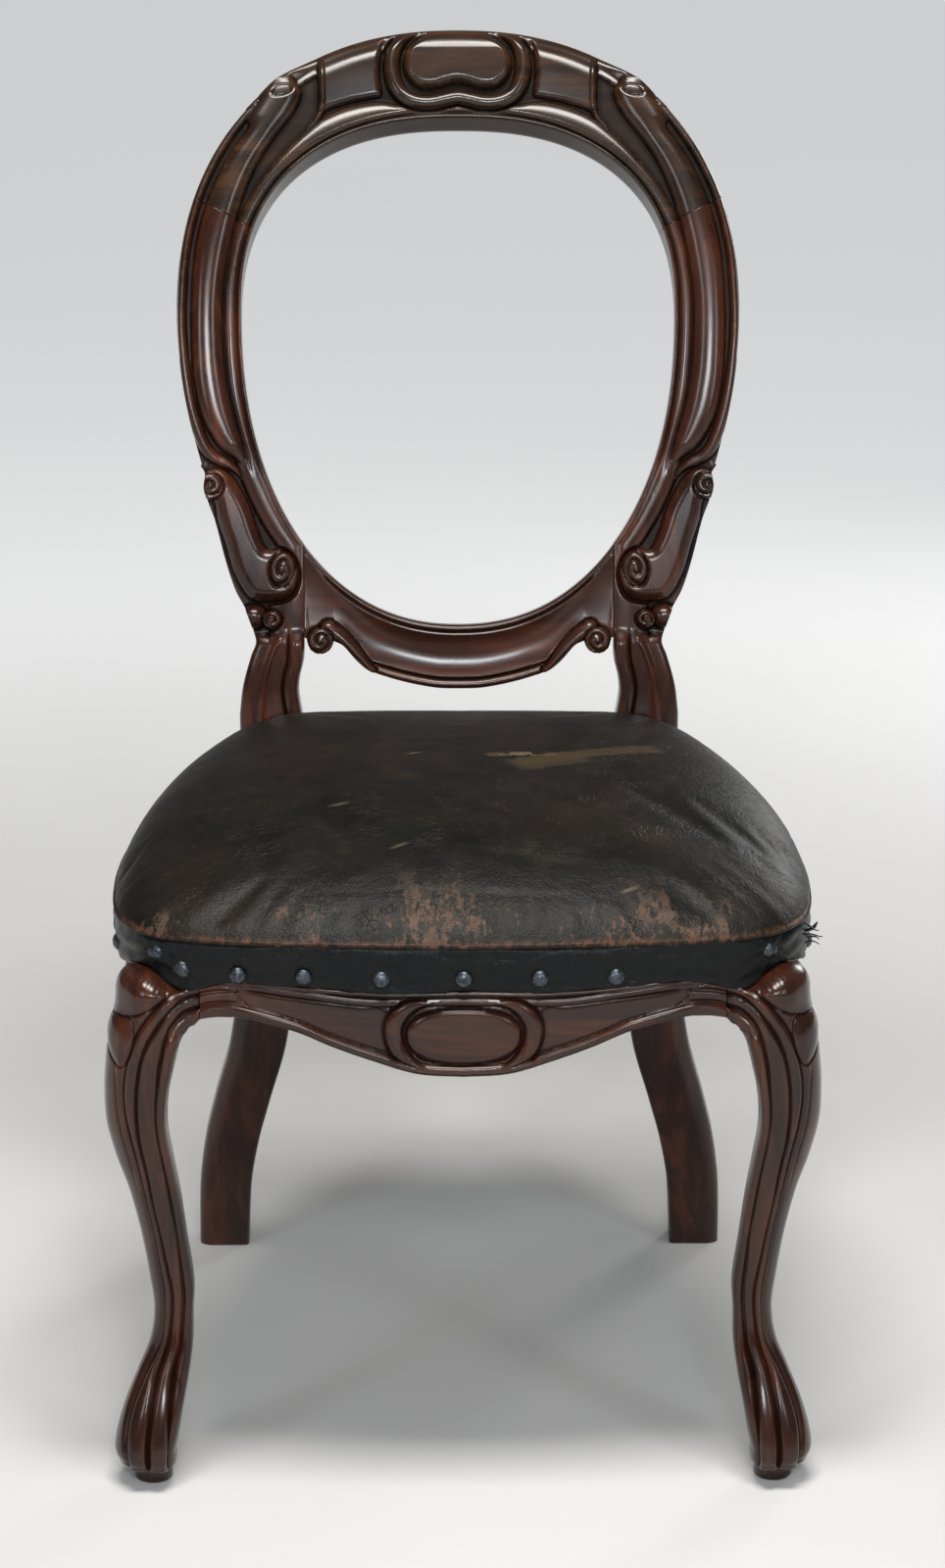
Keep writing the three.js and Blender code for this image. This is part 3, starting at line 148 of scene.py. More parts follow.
def ease(share):
    t = np.clip(share, 0, 1)
    return t * t * (3 - 2 * t)


def mix(a, b, t):
    return a + (b - a) * t


def read_table(rows, at, column=1):
    """A smooth curve through a table's rows, read by its first column."""
    keys, values = np.array(sorted(rows), float)[:, [0, column]].T
    last = len(rows) - 1
    at = np.asarray(at, float)
    index = np.arange(last + 1)
    before, after = np.maximum(index - 1, 0), np.minimum(index + 1, last)
    slope = (values[after] - values[before]) / (keys[after] - keys[before])
    i = np.clip(np.searchsorted(keys, at) - 1, 0, last - 1)
    span = keys[i + 1] - keys[i]
    t = np.clip((at - keys[i]) / span, 0, 1)
    rise = values[i + 1] - values[i]
    start, end = slope[i] * span, slope[i + 1] * span
    return values[i] + t * (start + t * (3 * rise - 2 * start - end + t * (start + end - 2 * rise)))


def spline(points, closed=False, per=10):
    """A smooth curve through a few points."""
    p = np.array(points, float)
    p = np.vstack([p[-1:], p, p[:2]] if closed else [2 * p[0] - p[1], p, 2 * p[-1] - p[-2]])
    t = np.linspace(0, 1, per, endpoint=False)[:, None]
    spans = []
    for a, b, c, d in zip(p, p[1:], p[2:], p[3:]):
        bend, twist = 2 * a - 5 * b + 4 * c - d, 3 * b - a - 3 * c + d
        spans.append(0.5 * (2 * b + (c - a) * t + bend * t ** 2 + twist * t ** 3))
    return np.vstack(spans if closed else spans + [p[-2]])


def distances(line):
    """How far along a line of points each one lies."""
    return np.concatenate([[0], np.cumsum(np.hypot(*np.diff(line, axis=0).T))])


def evenly(line, count, scale=(1, 1), endpoint=True):
    """Points set evenly along a line, as measured on this scale."""
    length = distances(line * scale)
    at = np.linspace(0, length[-1], count, endpoint=endpoint)
    return np.stack([np.interp(at, length, line[:, axis]) for axis in (0, 1)], -1)


def near(at, line):
    """How far places are from a line of points, and how far along it the nearest point is."""
    best = np.full(len(at), FAR)
    along = np.zeros(len(at))
    lengths = np.hypot(*(line[1:] - line[:-1]).T)
    start = 0.0
    for a, b, length in zip(line[:-1], line[1:], lengths):
        t = np.clip(((at - a) @ (b - a)) / (length ** 2 + FINE), 0, 1)
        d = np.hypot(at[:, 0] - a[0] - t * (b[0] - a[0]), at[:, 1] - a[1] - t * (b[1] - a[1]))
        closer = d < best
        best = np.where(closer, d, best)
        along = np.where(closer, start + t * length, along)
        start += length
    return best, along / start


def inside(at, ring):
    """How deep places are inside a closed ring; negative outside."""
    loop = np.vstack([ring, ring[:1]])
    odd = np.zeros(len(at), bool)
    for a, b in zip(loop[:-1], loop[1:]):
        crosses = (a[1] > at[:, 1]) != (b[1] > at[:, 1])
        odd ^= crosses & (at[:, 0] < a[0] + (at[:, 1] - a[1]) / (b[1] - a[1] + 1e-12) * (b[0] - a[0]))
    distance = near(at, loop)[0]
    return np.where(odd, distance, -distance)


def pillow(depth, width):
    """A rounded edge: 0 at the edge, 1 from width inside."""
    return np.sqrt(1 - (1 - np.clip(depth / width, 0, 1)) ** 2)


def rod(distance, half):
    """A half round: 1 on its line, 0 from half to either side."""
    return np.sqrt(np.clip(1 - (distance / half) ** 2, 0, 1))


def notch(distance, half):
    """A soft cut: 1 on its line, 0 from half to either side."""
    return 1 - ease(np.abs(distance) / half)


def soft_max(a, b, k=0.5):
    """The higher of two heights, with their meeting rounded off."""
    h = np.clip(0.5 + 0.5 * (a - b) / k, 0, 1)
    return mix(b, a, h) + k * h * (1 - h)


def raise_rod(height, distance, half, foot, rise, k=0.5):
    """A half round of this rise over its foot, melted into the heights round it."""
    ridge = foot + rise * rod(distance, np.maximum(half, 0.1))
    return soft_max(height, np.where(np.abs(distance) < half, ridge, LOW), k)


# ---------------------------------------------------------------- meshes


def add_object(name, mesh, material, replaces=()):
    piece = link_object(name, mesh)
    mesh.materials.append(material)
    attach(piece, "root")
    if replaces:
        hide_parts(*replaces)
    return piece


def build_mesh(name, points, faces, layers=None):
    """A smooth mesh from millimetres in the drawing's frame, faces turned outward."""
    placed = (np.asarray(points, float) - [0, SHIFT_Y, 0]) * MM
    mesh = bpy.data.meshes.new(name)
    mesh.from_pydata(placed.tolist(), [], faces)
    for key, values in (layers or {}).items():
        layer = mesh.attributes.new(key, "FLOAT", "POINT")
        layer.data.foreach_set("value", np.asarray(values, np.float32))
    mesh.update()
    if sum_volume(mesh) < 0:
        mesh.flip_normals()
    mesh.polygons.foreach_set("use_smooth", [True] * len(mesh.polygons))
    mesh.update()
    return mesh


def read_points(mesh, key="co"):
    found = np.empty(len(mesh.vertices) * 3)
    mesh.vertices.foreach_get(key, found)
    return found.reshape(-1, 3)


def sum_volume(mesh):
    mesh.calc_loop_triangles()
    tris = np.empty(len(mesh.loop_triangles) * 3, np.int32)
    mesh.loop_triangles.foreach_get("vertices", tris)
    a, b, c = read_points(mesh)[tris.reshape(-1, 3)].transpose(1, 0, 2)
    return float(np.einsum("ij,ij->i", a, np.cross(b, c)).sum())


def loft_faces(rows, columns):
    """Quads over a grid whose columns close on themselves, with its two end caps."""
    faces = [(a + j, b + j, b + (j + 1) % columns, a + (j + 1) % columns)
             for a, b in ((i * columns, (i + 1) * columns) for i in range(rows - 1)) for j in range(columns)]
    caps = [tuple(range(columns)), tuple((rows - 1) * columns + j for j in range(columns))[::-1]]
    return faces + caps


def add_loft(name, rings, material, replaces=(), marks=None):
    """A piece lofted through rings of points, with its carving's marks on the first points of each ring."""
    rings = np.asarray(rings)
    rows, columns = rings.shape[:2]
    layers = {}
    if marks is not None:
        layers["carve"] = np.pad(marks, ((0, 0), (0, columns - marks.shape[1]))).ravel()
    mesh = build_mesh(name, rings.reshape(-1, 3), loft_faces(rows, columns), layers)
    return add_object(name, mesh, material, replaces)


def over_grid(relief, *grids):
    """A relief's heights over a grid of places."""
    return relief(*[grid.ravel() for grid in grids]).reshape(grids[0].shape)


def grid_relief(heights, reach=3):
    """Where a carved grid stands out or is cut in, from its heights against their blurred copy."""
    blurred, width = heights, 2 * reach + 1
    for axis in (0, 1, 0, 1):
        padded = np.pad(np.moveaxis(blurred, axis, 0), ((reach + 1, reach), (0, 0)), mode="edge")
        total = np.cumsum(padded, axis=0)
        blurred = np.moveaxis((total[width:] - total[:-width]) / width, 0, axis)
    return np.clip((heights - blurred) / 0.8, -1, 1)


def carve_and_shade_marks(heights, outer_gap):
    """The same with the deep ground of the carving marked as well, away from the member's outer edge: the
    material darkens it, partly as dirt and partly as painted shade in the hollows.
    """
    # The carving's deep floor, marked for painted shade
    deep = ease((-heights - 5.2) / 3.0) * ease((outer_gap - 3) / 6)
    return np.clip(grid_relief(heights) - 0.62 * deep, -1, 1)


# ---------------------------------------------------------------- the back's arc and ovals


def on_back(across, level, proud):
    """Points of the curved and bowed back, from a place on its face and how far they stand out of it."""
    across, level, proud = np.broadcast_arrays(np.asarray(across, float), level, proud)
    radius = np.where(level >= 0, BACK_ARC, LEG_ARC)
    tilt = TILT + level / radius
    bow = BOW * (1 - (across / OUTLINE_HALF) ** 2) * ease(level / BOW_RISE)
    depth = FACE_DEPTH + radius * (np.cos(TILT) - np.cos(tilt)) + bow
    height = SEAT_LEVEL + radius * (np.sin(tilt) - np.sin(TILT))
    return np.stack([across, depth - proud * np.cos(tilt), height + proud * np.sin(tilt)], -1)


def level_at(height):
    """The level, measured along the back's arc from the seat, of a height over the floor."""
    radius = np.where(np.asarray(height) >= SEAT_LEVEL, BACK_ARC, LEG_ARC)
    return radius * (np.arcsin(np.sin(TILT) + (height - SEAT_LEVEL) / radius) - TILT)


def post_face_at(height):
    return on_back(OUTLINE_HALF, level_at(height), 0)[..., 1]


def oval(half, rise, drop, powers, turn):
    """Across and level on an oval of two halves, for a turn from its top."""
    c, s = np.cos(turn), np.sin(turn)
    power = 2 / np.where(c >= 0, powers[0], powers[1])
    across = half * np.sign(s) * np.abs(s) ** power
    return across, WIDEST + np.where(c >= 0, rise, -drop) * np.abs(c) ** power


def opening(turn):
    return oval(OPENING_HALF, OPENING_RISE, OPENING_DROP, OPENING_POWERS, turn)


def outline(turn):
    return oval(OUTLINE_HALF, OUTLINE_RISE, OUTLINE_DROP, OUTLINE_POWERS, turn)


def opening_across(level):
    share = np.clip((WIDEST - level) / OPENING_DROP, 0, 1)
    return OPENING_HALF * (1 - share ** OPENING_POWERS[1]) ** (1 / OPENING_POWERS[1])


def opening_foot(across):
    share = np.abs(across) / OPENING_HALF
    return WIDEST - OPENING_DROP * (1 - share ** OPENING_POWERS[1]) ** (1 / OPENING_POWERS[1])


def outline_inset(turns, inset):
    """Points a little way in from the outline, for lines that run along it."""
    turns = np.asarray(turns, float)
    x, level = outline(turns)
    step = 1e-3
    ahead, behind = outline(turns + step), outline(turns - step)
    dx, dl = ahead[0] - behind[0], ahead[1] - behind[1]
    length = np.hypot(dx, dl)
    return np.stack([x + inset * dl / length, level - inset * dx / length], -1)


def scroll_turn():
    share = (WIDEST - SCROLL_TOP) / OUTLINE_DROP
    return math.pi - math.acos(share ** (OUTLINE_POWERS[1] / 2))


# ---------------------------------------------------------------- carving of the back

# Lines drawn on the back: across, then level, both in millimetres, for the right half

# The groove between the wide roll and the inner moulding, from the finger's tip down to the scroll
GROOVE = spline([
    (131, 484), (124, 478), (119.6, 473.7), (117.4, 469.9), (115.9, 465.4), (116.7, 460.1), (119.6, 453.4),
    (124.6, 445.2), (132.6, 434.9), (142, 421.6), (149.8, 408), (157, 391), (163.2, 371), (169, 345),
    (173, 318), (174, 296), (172.6, 262), (168, 232), (162.3, 210.6), (155.8, 189), (149.4, 167.2),
    (145.2, 150),
])
# The outer limit of the wide roll, between it and the outer bead
OUTER_LIMIT = spline(
    [(133, 486), (142, 473), (150, 459.5), (157, 446.5)]
    + outline_inset(np.radians([50, 56, 62, 70, 80, 90]), 10.7).tolist()
    + [(197, 262), (194.6, 240), (190.3, 221.8), (183.2, 207.3), (176, 197.8), (165.2, 189.5), (156, 178),
       (148, 160)])
OUTER_BEAD = spline(
    [(148, 459.5), (153.5, 453.8)] + outline_inset(np.radians([43, 48, 55, 62, 70, 80, 90]), 3.9).tolist()
    + [(203.3, 270), (199.6, 240), (194.6, 218.2), (189.7, 204.4), (185, 196), (179, 190.6), (171.5, 186.9),
       (164.8, 181.3), (159.5, 173)])
PANEL = spline([
    (56.4, 462.5), (57.6, 477), (57.2, 490), (54, 503), (46, 514), (62, 520), (102, 505), (105.2, 487),
    (104.4, 474.3), (103.9, 462), (103.6, 449.2), (92.7, 452.6), (78.1, 457), (64, 459.8),
], closed=True)
LIP = spline([
    (102.4, 492), (101.8, 480), (101.6, 469.8), (101.5, 459), (101.9, 450), (105.2, 443.4), (109.4, 438.6),
    (113.6, 434.8),
])
U_BEAD = spline([
    (-9, 459), (0, 460.6), (9, 459), (18, 457), (27, 456.9), (36, 459.4), (43.2, 465), (47.6, 474),
    (49.2, 485), (47.4, 496), (41.6, 505.4), (33, 512), (22, 517),
])
PEBBLE = spline([
    (0, 471.4), (8, 470), (16.4, 467.4), (26, 467.4), (33.4, 471), (38.8, 478), (40.8, 487), (38.4, 496.4),
    (32, 504), (24, 509), (15, 515), (0, 520), (-15, 515), (-24, 509), (-32, 504), (-38.4, 496.4),
    (-40.8, 487), (-38.8, 478), (-33.4, 471), (-26, 467.4), (-16.4, 467.4), (-8, 470),
], closed=True, per=6)
COIN = (130.2, 465.3, 8.2, 4.3, math.radians(-14))
SCROLL_PANEL = spline([
    (181.8, 159.6), (178.6, 146), (172.9, 127.1), (168, 109.7), (161.6, 95.4), (155, 87), (147.6, 84.6),
    (138, 84.2), (129, 85.9), (122.4, 91.3), (119.2, 101.5), (120.3, 111), (124.6, 118.5), (131, 123),
    (138, 123.6), (143, 124.5), (146.5, 131), (149.8, 139.5), (154, 152.9), (161, 167.3), (169, 178.6),
    (178.2, 183.6), (186.2, 182.4), (192.2, 176.8), (193.6, 169.5), (189.2, 162.4),
], closed=True)
UPPER_EYE = (183.6, 170.6, 10.2, 10.2, 0.0)
LOWER_EYE = (131.2, 108.2, 9.6, 13.4, math.radians(8))
WAIST_LOBE = (152.4, 73.2, 9.6, 8.6, 0.0)
WAIST_EYE = (138.6, 71.2, 7.2, 6.6, 0.0)
CROSS_EYE = (103.0, 55.4, 9.7, 9.7, 0.0)
POST_RIDGE = spline([
    (130.4, 69), (131.9, 58.5), (137, 48), (142, 33.5), (144.4, 22.6), (146, 8), (146.8, -20),
])


def oval_depth(at, shape):
    """How deep places are inside an oval given by its centre, half sizes and turn."""
    x, level, wide, tall, turn = shape
    dx, dl = at[:, 0] - x, at[:, 1] - level
    u = (dx * math.cos(turn) + dl * math.sin(turn)) / wide
    v = (dl * math.cos(turn) - dx * math.sin(turn)) / tall
    return (1 - np.hypot(u, v)) * min(wide, tall), np.arctan2(v, u), np.hypot(u, v)


def scrolled(at, shape, hand, start, turns=1.25):
    """A carved scroll: a round ridge that winds in to an eye. Heights from 0 to 1."""
    depth, angle, share = oval_depth(at, shape)
    phase = (1 - share) * (turns + 0.4) + hand * (angle - start) / (2 * math.pi)
    ridge = rod(2 * (phase - np.floor(phase)) - 1, 1.06)
    body = 0.34 + 0.56 * ridge * (1 - 0.25 * share)
    body = np.where(share < 0.3, np.maximum(body, 0.3 + 0.72 * rod(share, 0.3)), body)
    return np.where(share < 1, body * pillow(depth, 0.2 * min(shape[2], shape[3])), 0)


def set_scroll(height, at, shape, hand, start, foot, top, cut, wide, reach=1.25, turns=1.25):
    """A scroll between two heights, set into what is round it with a cut about it."""
    depth, _, share = oval_depth(at, shape)
    carved = foot + (top - foot) * scrolled(at, shape, hand, start, turns)
    return np.where(share < 1, carved, height - cut * notch(depth, wide) * (share < reach))


def ring_relief(x, level, inner_gap, outer_gap):
    """Heights of the carving that runs round the balloon, over the board's own face."""
    at = np.stack([np.abs(x), level], -1)
    in_roll = inside(at, np.vstack([GROOVE, OUTER_LIMIT[::-1]]))
    to_groove, to_limit = near(at, GROOVE)[0], near(at, OUTER_LIMIT)[0]
    to_bead, along = near(at, OUTER_BEAD)
    wide = to_groove + to_limit
    place = to_groove / np.maximum(wide, 0.1) - 0.47
    place = np.where(place < 0, -place / 0.47, place / 0.53)
    swell = np.sqrt(np.clip(1 - place ** 2.1, 0, 1)) * np.clip(wide / 15, 0, 1) ** 0.6
    # The outer groove starts from nothing beside the finger's tip
    shallow = np.where(outer_gap < 13, ease(1 - along / 0.16), 0) * (along < 0.3)
    floor = -8.8 - 4.5 * (1 - pillow(outer_gap, 7)) + shallow * 5.2
    height = np.where(in_roll > 0, soft_max(floor, -8.6 + 8.6 * swell, 0.6), floor)

    # The inner moulding: a rounded band, then a thin bead on the edge
    wide = np.where(level > 400, read_table(BAND_WIDTHS, at[:, 0]), 12.9)
    limit = mix(wide, 19, ease((235 - level) / 60))
    rise, fall = (inner_gap - 2.6) / 4.9, (limit - inner_gap) / np.maximum(limit - 7.5, 1.4)
    gap = np.where(in_roll > 0, -1, np.minimum(np.minimum(rise, fall), (to_groove + 0.4) / 5))
    height = soft_max(height, np.where(gap > 0, -8.4 + 5.0 * pillow(gap, 1), LOW), 0.5)
    bead = np.where(inner_gap < 2.6, -7.9 + 3.4 * rod(inner_gap - 0.9, 1.5), LOW)
    height = soft_max(height, bead, 0.3)

    # The outer bead, which turns in over the scroll panel
    half = mix(3.3, 4.4, ease((along - 0.62) / 0.2)) * ease(along / 0.1) * ease((1 - along) / 0.07)
    return raise_rod(height, to_bead, half, -9.6, 6.2, 0.4)


# How wide the inner band is beside the crest's carvings, by the place across
BAND_WIDTHS = [(0, 8.6), (27, 8.6), (45, 12.9), (55, 17.2), (75, 19.8), (100, 19.8), (113, 17.2), (135, 12.9)]


def crest_relief(x, level, inner_gap, outer_gap):
    """The crest rail's carving: the ring, the leaf panels, the bean and its round bead."""
    at = np.stack([np.abs(x), level], -1)
    height = ring_relief(x, level, inner_gap, outer_gap)

    # The leaf panel has two faces that meet in a soft ridge, and a raised end
    depth = inside(at, PANEL)
    ridge = read_table([(50, 492.5), (70.9, 487), (85.4, 481.8), (104, 473.4)], at[:, 0])
    rise = np.where(level < ridge, (level - ridge) * 0.115, (ridge - level) * 0.16)
    to_lip, along = near(at, LIP)
    rise = -0.9 - np.sqrt(rise ** 2 + 0.25) + 1.5 * rod(to_lip, 3.0)
    panel = -9.6 + (9.6 + rise) * pillow(depth, 4.6)
    height = np.where(depth > 0, soft_max(height, panel, 0.5), height)
    half = mix(2.6, 1.9, along) * ease((1 - along) / 0.12)
    height = np.where(depth < 0.4, raise_rod(height, to_lip, half, -7.8, mix(6.4, 4.2, along), 0.8), height)

    # The round bead about the bean, and the bean itself
    to_bead, along = near(at, U_BEAD)
    half = mix(6.4, 3.4, ease((along - 0.62) / 0.34))
    sunk = np.minimum(height, mix(-8.8, height, ease((to_bead - half) / 2.4)))
    height = raise_rod(np.where(to_bead < half + 2.4, sunk, height), to_bead, half, -8.6, 8.0)
    depth = inside(np.stack([x, level], -1), PEBBLE)
    crown = np.where(level < 497, (497 - level) * 0.05, (level - 497) * 0.1)
    moat = np.minimum(height, mix(-8.0, height, (depth / 2) ** 2))
    height = np.where((depth > -2) & (depth < 0), moat, height)
    height = np.where(depth > 0, -7.8 + (9.4 - crown) * pillow(depth, 6.0), height)

    # The small oval let in beside the finger's tip
    depth, _, share = oval_depth(at, COIN)
    height = np.where(share < 1.4, height - 0.6 * notch(depth, 1.0) + 0.25 * pillow(depth, 3.2), height)

    # All of it dies away in the rounded top edge
    fade = mix(ease((outer_gap - 1.0) / 9), 1.0, ease((at[:, 0] - 124) / 16))
    top = ease((138 - at[:, 0]) / 34)
    return height * fade - 0.8 * (1 - fade) - 12.5 * (1 - pillow(outer_gap, 15)) * top


def post_relief(x, level, inner_gap, outer_gap):
    """A post's carving: the ring runs on into the scroll panel, the waist and the moulded lower part."""
    at = np.stack([np.abs(x), level], -1)
    height = ring_relief(x, level, inner_gap, outer_gap)

    # The face beside the scroll panel, which runs on into the cross rail
    round_face = rod(inner_gap - 9, mix(10, 17, ease((120 - level) / 40)))
    face = -8.8 + 5.4 * round_face * ease((outer_gap - 2) / 9)
    height = mix(height, np.maximum(face, height), ease((214 - level) / 40))

    # The scroll panel, with a volute at either end
    depth = inside(at, SCROLL_PANEL)
    moat = np.where((depth < 0) & (depth > -2.8), -8.4 + (depth / 2.8) ** 2 * 5, -LOW)
    height = np.where(level < 190, np.minimum(height, moat), height)
    height = np.where(depth > 0, soft_max(-8.2 + 8.6 * pillow(depth, 9.5), -9.0, 0.4), height)
    height = set_scroll(height, at, UPPER_EYE, -1, 1.2, -6.4, 1.2, 1.2, 1.5)
    height = set_scroll(height, at, LOWER_EYE, 1, 0.4, -6.4, 1.4, 1.2, 1.5)

    # The waist, with a lobe and a small scroll
    depth, _, share = oval_depth(at, WAIST_LOBE)
    lobe = np.maximum(-7.5 + 7.7 * pillow(depth, 7), height)
    height = np.where(share < 1, lobe, height - 1.8 * notch(depth, 1.8) * (share < 1.3))
    height = set_scroll(height, at, WAIST_EYE, -1, 2.4, -7.5, 2.2, 1.8, 1.8, 1.3, 1.3)

    # Below: a bead inside, a plain face, and a sharp ridge where the outer side falls away
    to_ridge, _ = near(at, POST_RIDGE)
    outside = at[:, 0] > read_table([(row[1], row[0]) for row in POST_RIDGE[::10]], level)
    plain = -1.3 + 1.4 * np.exp(-to_ridge / 1.8) - 1.4 * ease(to_ridge / 26)
    fall = 0.2 - 9.5 * (1 - rod(to_ridge, 22)) - 2.2 * ease(to_ridge / 5)
    plain = np.where(outside, np.maximum(fall, -12), plain)
    plain -= 2.6 * notch(inner_gap - 11.2, 2.4)
    plain = np.where(inner_gap < 10.8, -4.2 + 4.6 * rod(inner_gap - 5.4, 5.9), plain)
    plain -= 3 * (1 - pillow(outer_gap, 3.5)) + 2.4 * (1 - pillow(inner_gap, 2.4))
    return mix(height, plain, ease((66 - level) / 14) * np.where(outside, ease((63 - level) / 6), 1))


def leg_relief(place):
    """The plain raked leg: flat in front, with its outer arris taken off."""
    return -4.5 * (1 - pillow(place, 0.1)) - 8.1 * (1 - pillow(1 - place, 0.3))


# ---------------------------------------------------------------- crest rail and posts


def section_walls(width, thickness, splay, top_inner, top_outer):
    """The rest of a member's section: outer side, back and inner side, with rounded arrises."""
    arc = np.radians(np.linspace(0, 90, 5))
    outer = [(width, mix(top_outer, EDGE - thickness, t)) for t in np.linspace(0.15, 1, 7)]
    corner = [(width - EDGE * (1 - math.cos(a)), -thickness + EDGE * (1 - math.sin(a))) for a in arc[1:]]
    back = [(mix(width - EDGE, EDGE - splay, t), -thickness) for t in np.linspace(0, 1, 12)[1:-1]]
    other = [(-splay + EDGE * (1 - math.sin(a)), -thickness + EDGE * (1 - math.cos(a))) for a in arc]
    inner = [(mix(-splay, 0, t), mix(EDGE - thickness, top_inner, t)) for t in np.linspace(0, 0.85, 7)[1:]]
    return np.array(outer + corner + back + other + inner)


def board_grid(edges, columns):
    """A grid over the board between its edges: across, level, and the gaps to the inner and outer edge."""
    shares = np.linspace(0, 1, columns)
    x = mix(edges[0][:, None], edges[2][:, None], shares)
    level = mix(edges[1][:, None], edges[3][:, None], shares)
    width = np.hypot(edges[2] - edges[0], edges[3] - edges[1])[:, None]
    return x, level, shares * width, (1 - shares) * width


def member_sections(edges, heights, thickness, splay):
    """Rings of points from the two edges of a member, with its carved front."""
    shares = np.linspace(0, 1, heights.shape[1])
    rings = []
    for (xi, li, xo, lo), front, thick, slope in zip(edges.T, heights, thickness, splay):
        width = math.hypot(xo - xi, lo - li)
        walls = section_walls(width, thick, slope, front[0], front[-1])
        pairs = np.vstack([np.stack([shares * width, front], -1), walls])
        place = pairs[:, 0] / width
        rings.append(on_back(mix(xi, xo, place), mix(li, lo, place), pairs[:, 1]))
    return np.array(rings)


def crest_rail(material):
    rows, columns = 700, 98
    turns = np.linspace(-JOINT_TURN + JOINT_GAP, JOINT_TURN - JOINT_GAP, 4000)
    length = distances(np.stack(outline(turns), -1))
    turns = np.interp(np.linspace(0, length[-1], rows), length, turns)
    edges = np.stack([*opening(turns), *outline(turns)])
    x, level, inner_gap, outer_gap = board_grid(edges, columns)
    heights = over_grid(crest_relief, x, level, inner_gap, outer_gap)
    rings = member_sections(edges, heights, np.full(rows, CREST_THICK), SPLAY * np.maximum(0, np.cos(turns)))
    marks = carve_and_shade_marks(heights, outer_gap)
    # The round bead about the bean faces down and is marked darker: painted shade
    to_u, along = near(np.stack([np.abs(x).ravel(), level.ravel()], -1), U_BEAD)
    marks -= (0.42 * ease((9.5 - to_u) / 3) * ease((1 - along) / 0.05)).reshape(x.shape)
    add_loft("crest_rail_carved", rings, material, ["crest_rail"], marks)


def post_edges(level, skew):
    """A post's two edges beside the scroll panel and the cross rail."""
    outer = OUTLINE_HALF * read_table(POST_OUTER, level / SCROLL_TOP)
    share = (level - CROSS_FOOT) / (SCROLL_TOP - CROSS_FOOT)
    inner_level = level + skew * np.maximum(0, share)
    under = CROSS_JOINT * read_table(POST_INNER, inner_level / CROSS_FOOT)
    beside = np.maximum(CROSS_JOINT, opening_across(inner_level))
    return np.where(inner_level < CROSS_FOOT, under, beside), inner_level, outer, level


def rear_leg_edges(level):
    """A back leg's two edges under the seat's level."""
    floor = level_at(0.0)
    centre = CROSS_JOINT * read_table(REAR_LEG, level / floor, 1)
    half = SIDE_WIDTH * read_table(REAR_LEG, level / floor, 2) / 2
    return centre - half, level, centre + half, level


def back_post(side, material):
    columns = 72
    skew = opening(scroll_turn())[1] - SCROLL_TOP
    floor = float(level_at(0.0))
    turns = np.linspace(JOINT_TURN + JOINT_GAP, scroll_turn(), 210, endpoint=False)
    edges = np.hstack([np.stack([*opening(turns), *outline(turns)]),
                       np.stack(post_edges(np.linspace(SCROLL_TOP, 0, 250, endpoint=False), skew)),
                       np.stack(rear_leg_edges(np.linspace(0, floor * 1.035, 240)))])
    x, level, inner_gap, outer_gap = board_grid(edges, columns)
    heights = over_grid(post_relief, x, level, inner_gap, outer_gap)
    heights = mix(heights, leg_relief(np.linspace(0, 1, columns)), ease(-level / 150))
    thickness = np.interp(edges[3], [floor, 0], [FOOT_THICK, POST_THICK])
    thickness[:len(turns)] = np.linspace(CREST_THICK, POST_THICK, len(turns))
    splay = np.zeros(len(thickness))
    splay[:len(turns)] = SPLAY * np.maximum(0, np.cos(turns))
    rings = member_sections(edges, heights, thickness, splay)
    rings[..., 0] *= side
    # The foot is cut level with the floor
    for above, ring in zip(rings, rings[1:]):
        low = ring[:, 2] < 0
        if low.any():
            drop = np.where(low, above[:, 2] / np.maximum(above[:, 2] - ring[:, 2], 1e-6), 1)
            ring[:] = above + (ring - above) * np.clip(drop, 0, 1)[:, None]
    marks = mix(carve_and_shade_marks(heights, outer_gap), grid_relief(heights), ease((80 - level) / 20))
    name = ("right" if side > 0 else "left") + "_back_post"
    add_loft(name + "_carved", rings, material, [name], marks)


# ---------------------------------------------------------------- cross rail

CROSS_LEAF = spline([
    (97, 63.6), (90, 59.5), (82, 52.6), (74.5, 44.2), (68.5, 37.6), (64.3, 33.6),
])
CROSS_LEAF_EDGE = spline([
    (104, 67.5), (96, 67.2), (88.5, 63.6), (80, 56.2), (72, 46.8), (66, 39.4), (61.5, 34.6),
])


def cross_relief(x, level, below, above):
    """Heights over the rail's face, from the gaps to its lower and upper edges."""
    at = np.stack([np.abs(x), level], -1)
    place = (below - 7.5) / np.maximum(below + above - 13.5, 1)
    middle = ease((110 - at[:, 0]) / 70)
    cove = mix(-1.6, -4.6, middle) * np.clip(np.sin(np.clip(place, 0, 1) * math.pi), 0, 1) ** 0.8
    lower = ease((72 - at[:, 0]) / 10)
    height = mix(cove - 1.0, np.where(below < 8, -4.6, cove - 1.0), lower)
    bead = np.where((below < 6.6) & (lower > 0.5), -3.8 + 3.8 * rod(below - 3.1, 3.4), LOW)
    height = soft_max(height, bead, 0.3)
    height -= lower * 1.4 * notch(below - 7.4, 1.5)
    height -= 2.2 * notch(above - 5.2, 1.7) * ease((104 - at[:, 0]) / 8)
    height = np.where(above < 4.2, -3.2 + 2.6 * rod(above - 2.1, 2.3), height)
    # The leaf that runs out of the scroll along the lower edge
    to_edge, along = near(at, CROSS_LEAF_EDGE)
    height = raise_rod(height, to_edge, 1.7, -2.6, 2.8 * ease(along / 0.1))
    to_leaf, along = near(at, CROSS_LEAF)
    half = mix(6.6, 2.6, along)
    height = np.where(to_leaf < half + 1.6, np.minimum(height, -4.2), height)
    height = raise_rod(height, to_leaf, half, -4.6, 5.4)
    return set_scroll(height, at, CROSS_EYE, 1, 0.6, -5.4, 2.0, 2.0, 2.0)


